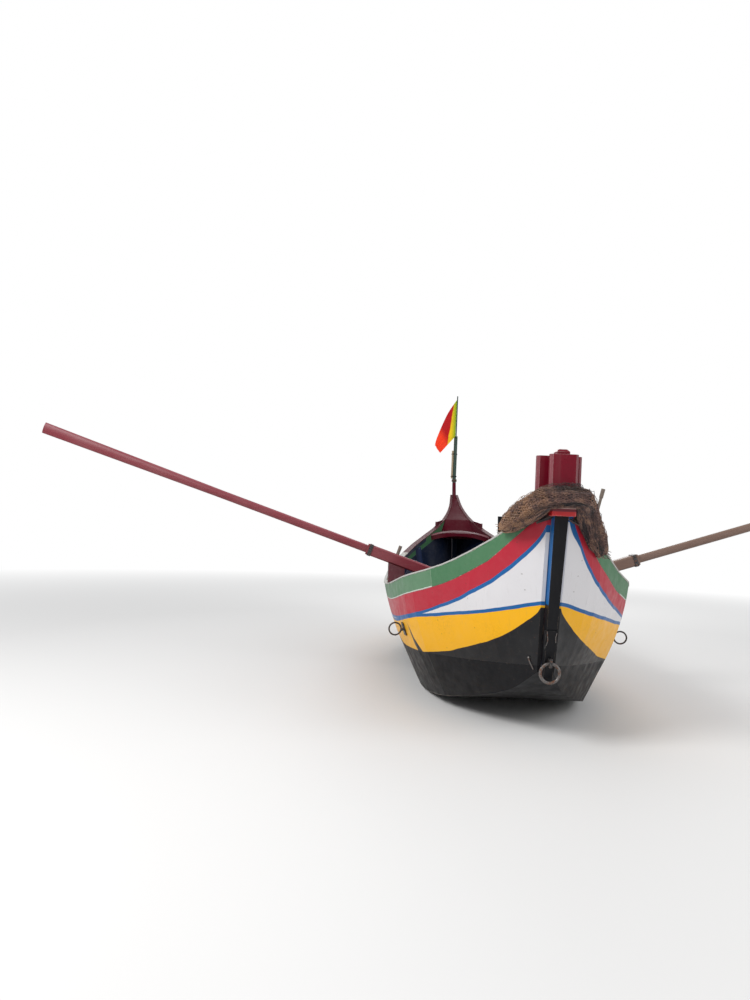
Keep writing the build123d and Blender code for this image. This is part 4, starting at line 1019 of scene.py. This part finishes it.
def section(names, height):
    """Middle and half widths of what some nodes cover at a height."""
    spots = []
    for name in names:
        mesh = NODES[name].data
        for edge in mesh.edges:
            a, b = (mesh.vertices[i].co for i in edge.vertices)
            if (a.z - height) * (b.z - height) < 0:
                spots.append(a.lerp(b, (height - a.z) / (b.z - a.z)))
    low = [min(spot[axis] for spot in spots) for axis in (0, 1)]
    high = [max(spot[axis] for spot in spots) for axis in (0, 1)]
    middle = Vector(((low[0] + high[0]) / 2, (low[1] + high[1]) / 2, height))
    return middle, (high[0] - low[0]) / 2, (high[1] - low[1]) / 2


LASHING_STEPS = 28
LASHING_ROOM = 1.12


def lashing(name, nodes, height, turns, wire, material, slot):
    """Turns of line laid tight round some pieces."""
    tubes = Tubes()
    for turn in range(turns):
        middle, wide, deep = section(nodes, height + 2 * wire * turn)
        ring = []
        for step in range(LASHING_STEPS):
            angle = 2 * math.pi * step / LASHING_STEPS
            ripple = 0.0006 * math.sin(5 * angle + turn)
            x = (wide * LASHING_ROOM + wire + ripple) * math.cos(angle)
            y = (deep * LASHING_ROOM + wire + ripple) * math.sin(angle)
            ring.append(middle + Vector((x, y, ripple)))
        tubes.add(ring, wire, 8, closed=True)
    tubes.build(name, material, slot=slot)


POLE_LASHING_Z = 2.392
POST_RING_Z = 1.57
for spot, height in (("low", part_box("pole_splint")[0].z + 0.03), ("high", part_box("pole_splint")[1].z - 0.06)):
    lashing("splint_lashing_" + spot, ("flagpole", "pole_splint"), height, 3, 0.0022, MAT["net_dark"], "net")
lashing("pole_lashing", ("flagpole",), POLE_LASHING_Z, 4, 0.005, MAT["rope"], "net")
lashing("gunwale_post_ring", ("gunwale_post",), POST_RING_Z, 2, 0.004, MAT["pale_ring"], "cap_white")


ASTERN_Y = -6.0


def aft_spot(x, z, nodes):
    """Where a line from astern meets some nodes."""
    best = None
    for name in nodes:
        mesh = NODES[name].data
        tree = BVHTree.FromPolygons([v.co for v in mesh.vertices], [f.vertices for f in mesh.polygons])
        hit = tree.ray_cast(Vector((x, ASTERN_Y, z)), Vector((0, 1, 0)))[0]
        if hit is not None and (best is None or hit.y < best.y):
            best = hit
    return best


# Hook beside the stern ring, seen from astern: (x, z)
HOOK_ROUTE = [(-0.118, 0.645), (-0.110, 0.618), (-0.097, 0.590), (-0.083, 0.562)]
HOOK_WIRE = 0.006


def stern_hook():
    """Bent iron pin driven into the hull beside the ring."""
    nodes = ("side_planking_port", "bilge_plank_port", "sternpost")
    points = []
    for x, z in HOOK_ROUTE:
        points.append(aft_spot(x, z, nodes) - Vector((0, HOOK_WIRE * 0.8, 0)))
    tubes = Tubes()
    tubes.add(smooth_path(points, 6), HOOK_WIRE, 8)
    head = points[0]
    tubes.add([head + Vector((0, 0.004, 0.002)), head - Vector((0, 0.010, -0.002))], [0.011, 0.010], 10)
    tubes.build("stern_hook", MAT["galvanised"], slot="galvanised")


stern_hook()

# Worn sides of the strap, as shares of its width and height
STRAP_SIDES = [
    [(0.10, 0.96), (0.16, 0.72), (0.20, 0.50), (0.10, 0.26)],
    [(0.88, 0.90), (0.82, 0.66), (0.86, 0.42)],
]
STRAP_SIDE_WIRE = 0.0035


def strap_sides():
    low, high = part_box("stern_strap")
    tubes = Tubes()
    for route in STRAP_SIDES:
        points = []
        for across, up in route:
            x = low.x + across * (high.x - low.x)
            z = low.z + up * (high.z - low.z)
            points.append(aft_spot(x, z, ("stern_strap", "sternpost", *both_sides("bilge_plank"))))
        tubes.add(smooth_path(points, 6), STRAP_SIDE_WIRE, 6)
    tubes.build("strap_sides", MAT["galvanised"], slot="galvanised")


strap_sides()


def soften(name, width):
    """Rounds the edges of a CAD piece."""
    bevel = NODES[name].modifiers.new("soft edges", "BEVEL")
    bevel.width = width
    bevel.segments = 3
    bevel.limit_method = "ANGLE"


soften("gunwale_post", 0.008)


# The photo's camera: place, roll (radians), focal length and horizon as shares of the picture's height
CAMERA_PLACE = (-1.30, -8.85, 1.55)
SENSOR = 36.0
ROLL = 0.0401
FOCAL = 751.0 / 1000.0
HORIZON = 0.029


def camera():
    data = bpy.data.cameras.new("camera")
    data.sensor_width = SENSOR
    data.lens = SENSOR * FOCAL
    data.shift_x = HORIZON * math.sin(ROLL)
    data.shift_y = HORIZON * math.cos(ROLL)
    obj = add_to_scene("camera", data)
    right = Vector((math.cos(ROLL), 0, math.sin(ROLL)))
    up = Vector((-math.sin(ROLL), 0, math.cos(ROLL)))
    back = Vector((0, -1, 0))
    turn = Matrix((right, up, back)).transposed().to_4x4()
    obj.matrix_world = Matrix.Translation(CAMERA_PLACE) @ turn
    bpy.context.scene.camera = obj


def lamp(name, place, aim, size, power):
    data = bpy.data.lights.new(name, "AREA")
    data.size = size
    data.energy = power
    obj = add_to_scene(name, data)
    obj.location = place
    obj.rotation_euler = (Vector(aim) - Vector(place)).to_track_quat("-Z", "Y").to_euler()


# World: (colour, strength) of what lights the boat, and of what the camera sees behind it
WORLD = [((0.95, 0.97, 1.0), 0.56), ((1, 1, 1), 1.0)]
# Lamps: (name, place, aim, size, power)
LAMPS = [
    ("key", (-7.5, -7.5, 7.5), (0, -1.0, 0.8), 4.0, 760),
    ("fill", (8.0, -6.0, 5.0), (0, -0.5, 1.0), 5.0, 250),
    ("back", (2.0, 9.0, 7.0), (0, 1.0, 1.0), 5.0, 340),
]


def studio():
    world = bpy.data.worlds.new("studio")
    bpy.context.scene.world = world
    world.use_nodes = True
    tree = world.node_tree
    tree.nodes.clear()
    path = tree.nodes.new("ShaderNodeLightPath")
    seen = tree.nodes.new("ShaderNodeMath")
    seen.operation = "MAXIMUM"
    tree.links.new(path.outputs["Is Camera Ray"], seen.inputs[0])
    tree.links.new(path.outputs["Is Transmission Ray"], seen.inputs[1])
    both = tree.nodes.new("ShaderNodeMixShader")
    tree.links.new(seen.outputs[0], both.inputs[0])
    for index, (tone, strength) in enumerate(WORLD, start=1):
        light = tree.nodes.new("ShaderNodeBackground")
        light.inputs["Color"].default_value = (*tone, 1)
        light.inputs["Strength"].default_value = strength
        tree.links.new(light.outputs[0], both.inputs[index])
    out = tree.nodes.new("ShaderNodeOutputWorld")
    tree.links.new(both.outputs[0], out.inputs[0])
    for setup in LAMPS:
        lamp(*setup)


FLOOR_REACH = 60.0
# Distances from the boat between which the camera sees the floor fade to white
FLOOR_FADE = (6.0, 17.0)


def floor():
    g = Graph("studio floor")
    far = g.band(g.measure("LENGTH", g.place), *FLOOR_FADE)
    share = g.times(far, g.add("ShaderNodeLightPath").outputs["Is Camera Ray"])
    white = g.add("ShaderNodeEmission").outputs[0]
    mesh = bpy.data.meshes.new("floor")
    corners = [(x * FLOOR_REACH, y * FLOOR_REACH, 0) for x, y in ((-1, -1), (1, -1), (1, 1), (-1, 1))]
    mesh.from_pydata(corners, [], [(0, 1, 2, 3)])
    mesh.materials.append(g.blend(share, g.shader((0.80, 0.79, 0.775), 0.85), white))
    obj = add_to_scene("floor", mesh)


camera()
studio()
floor()
bpy.context.scene.view_settings.view_transform = "Standard"
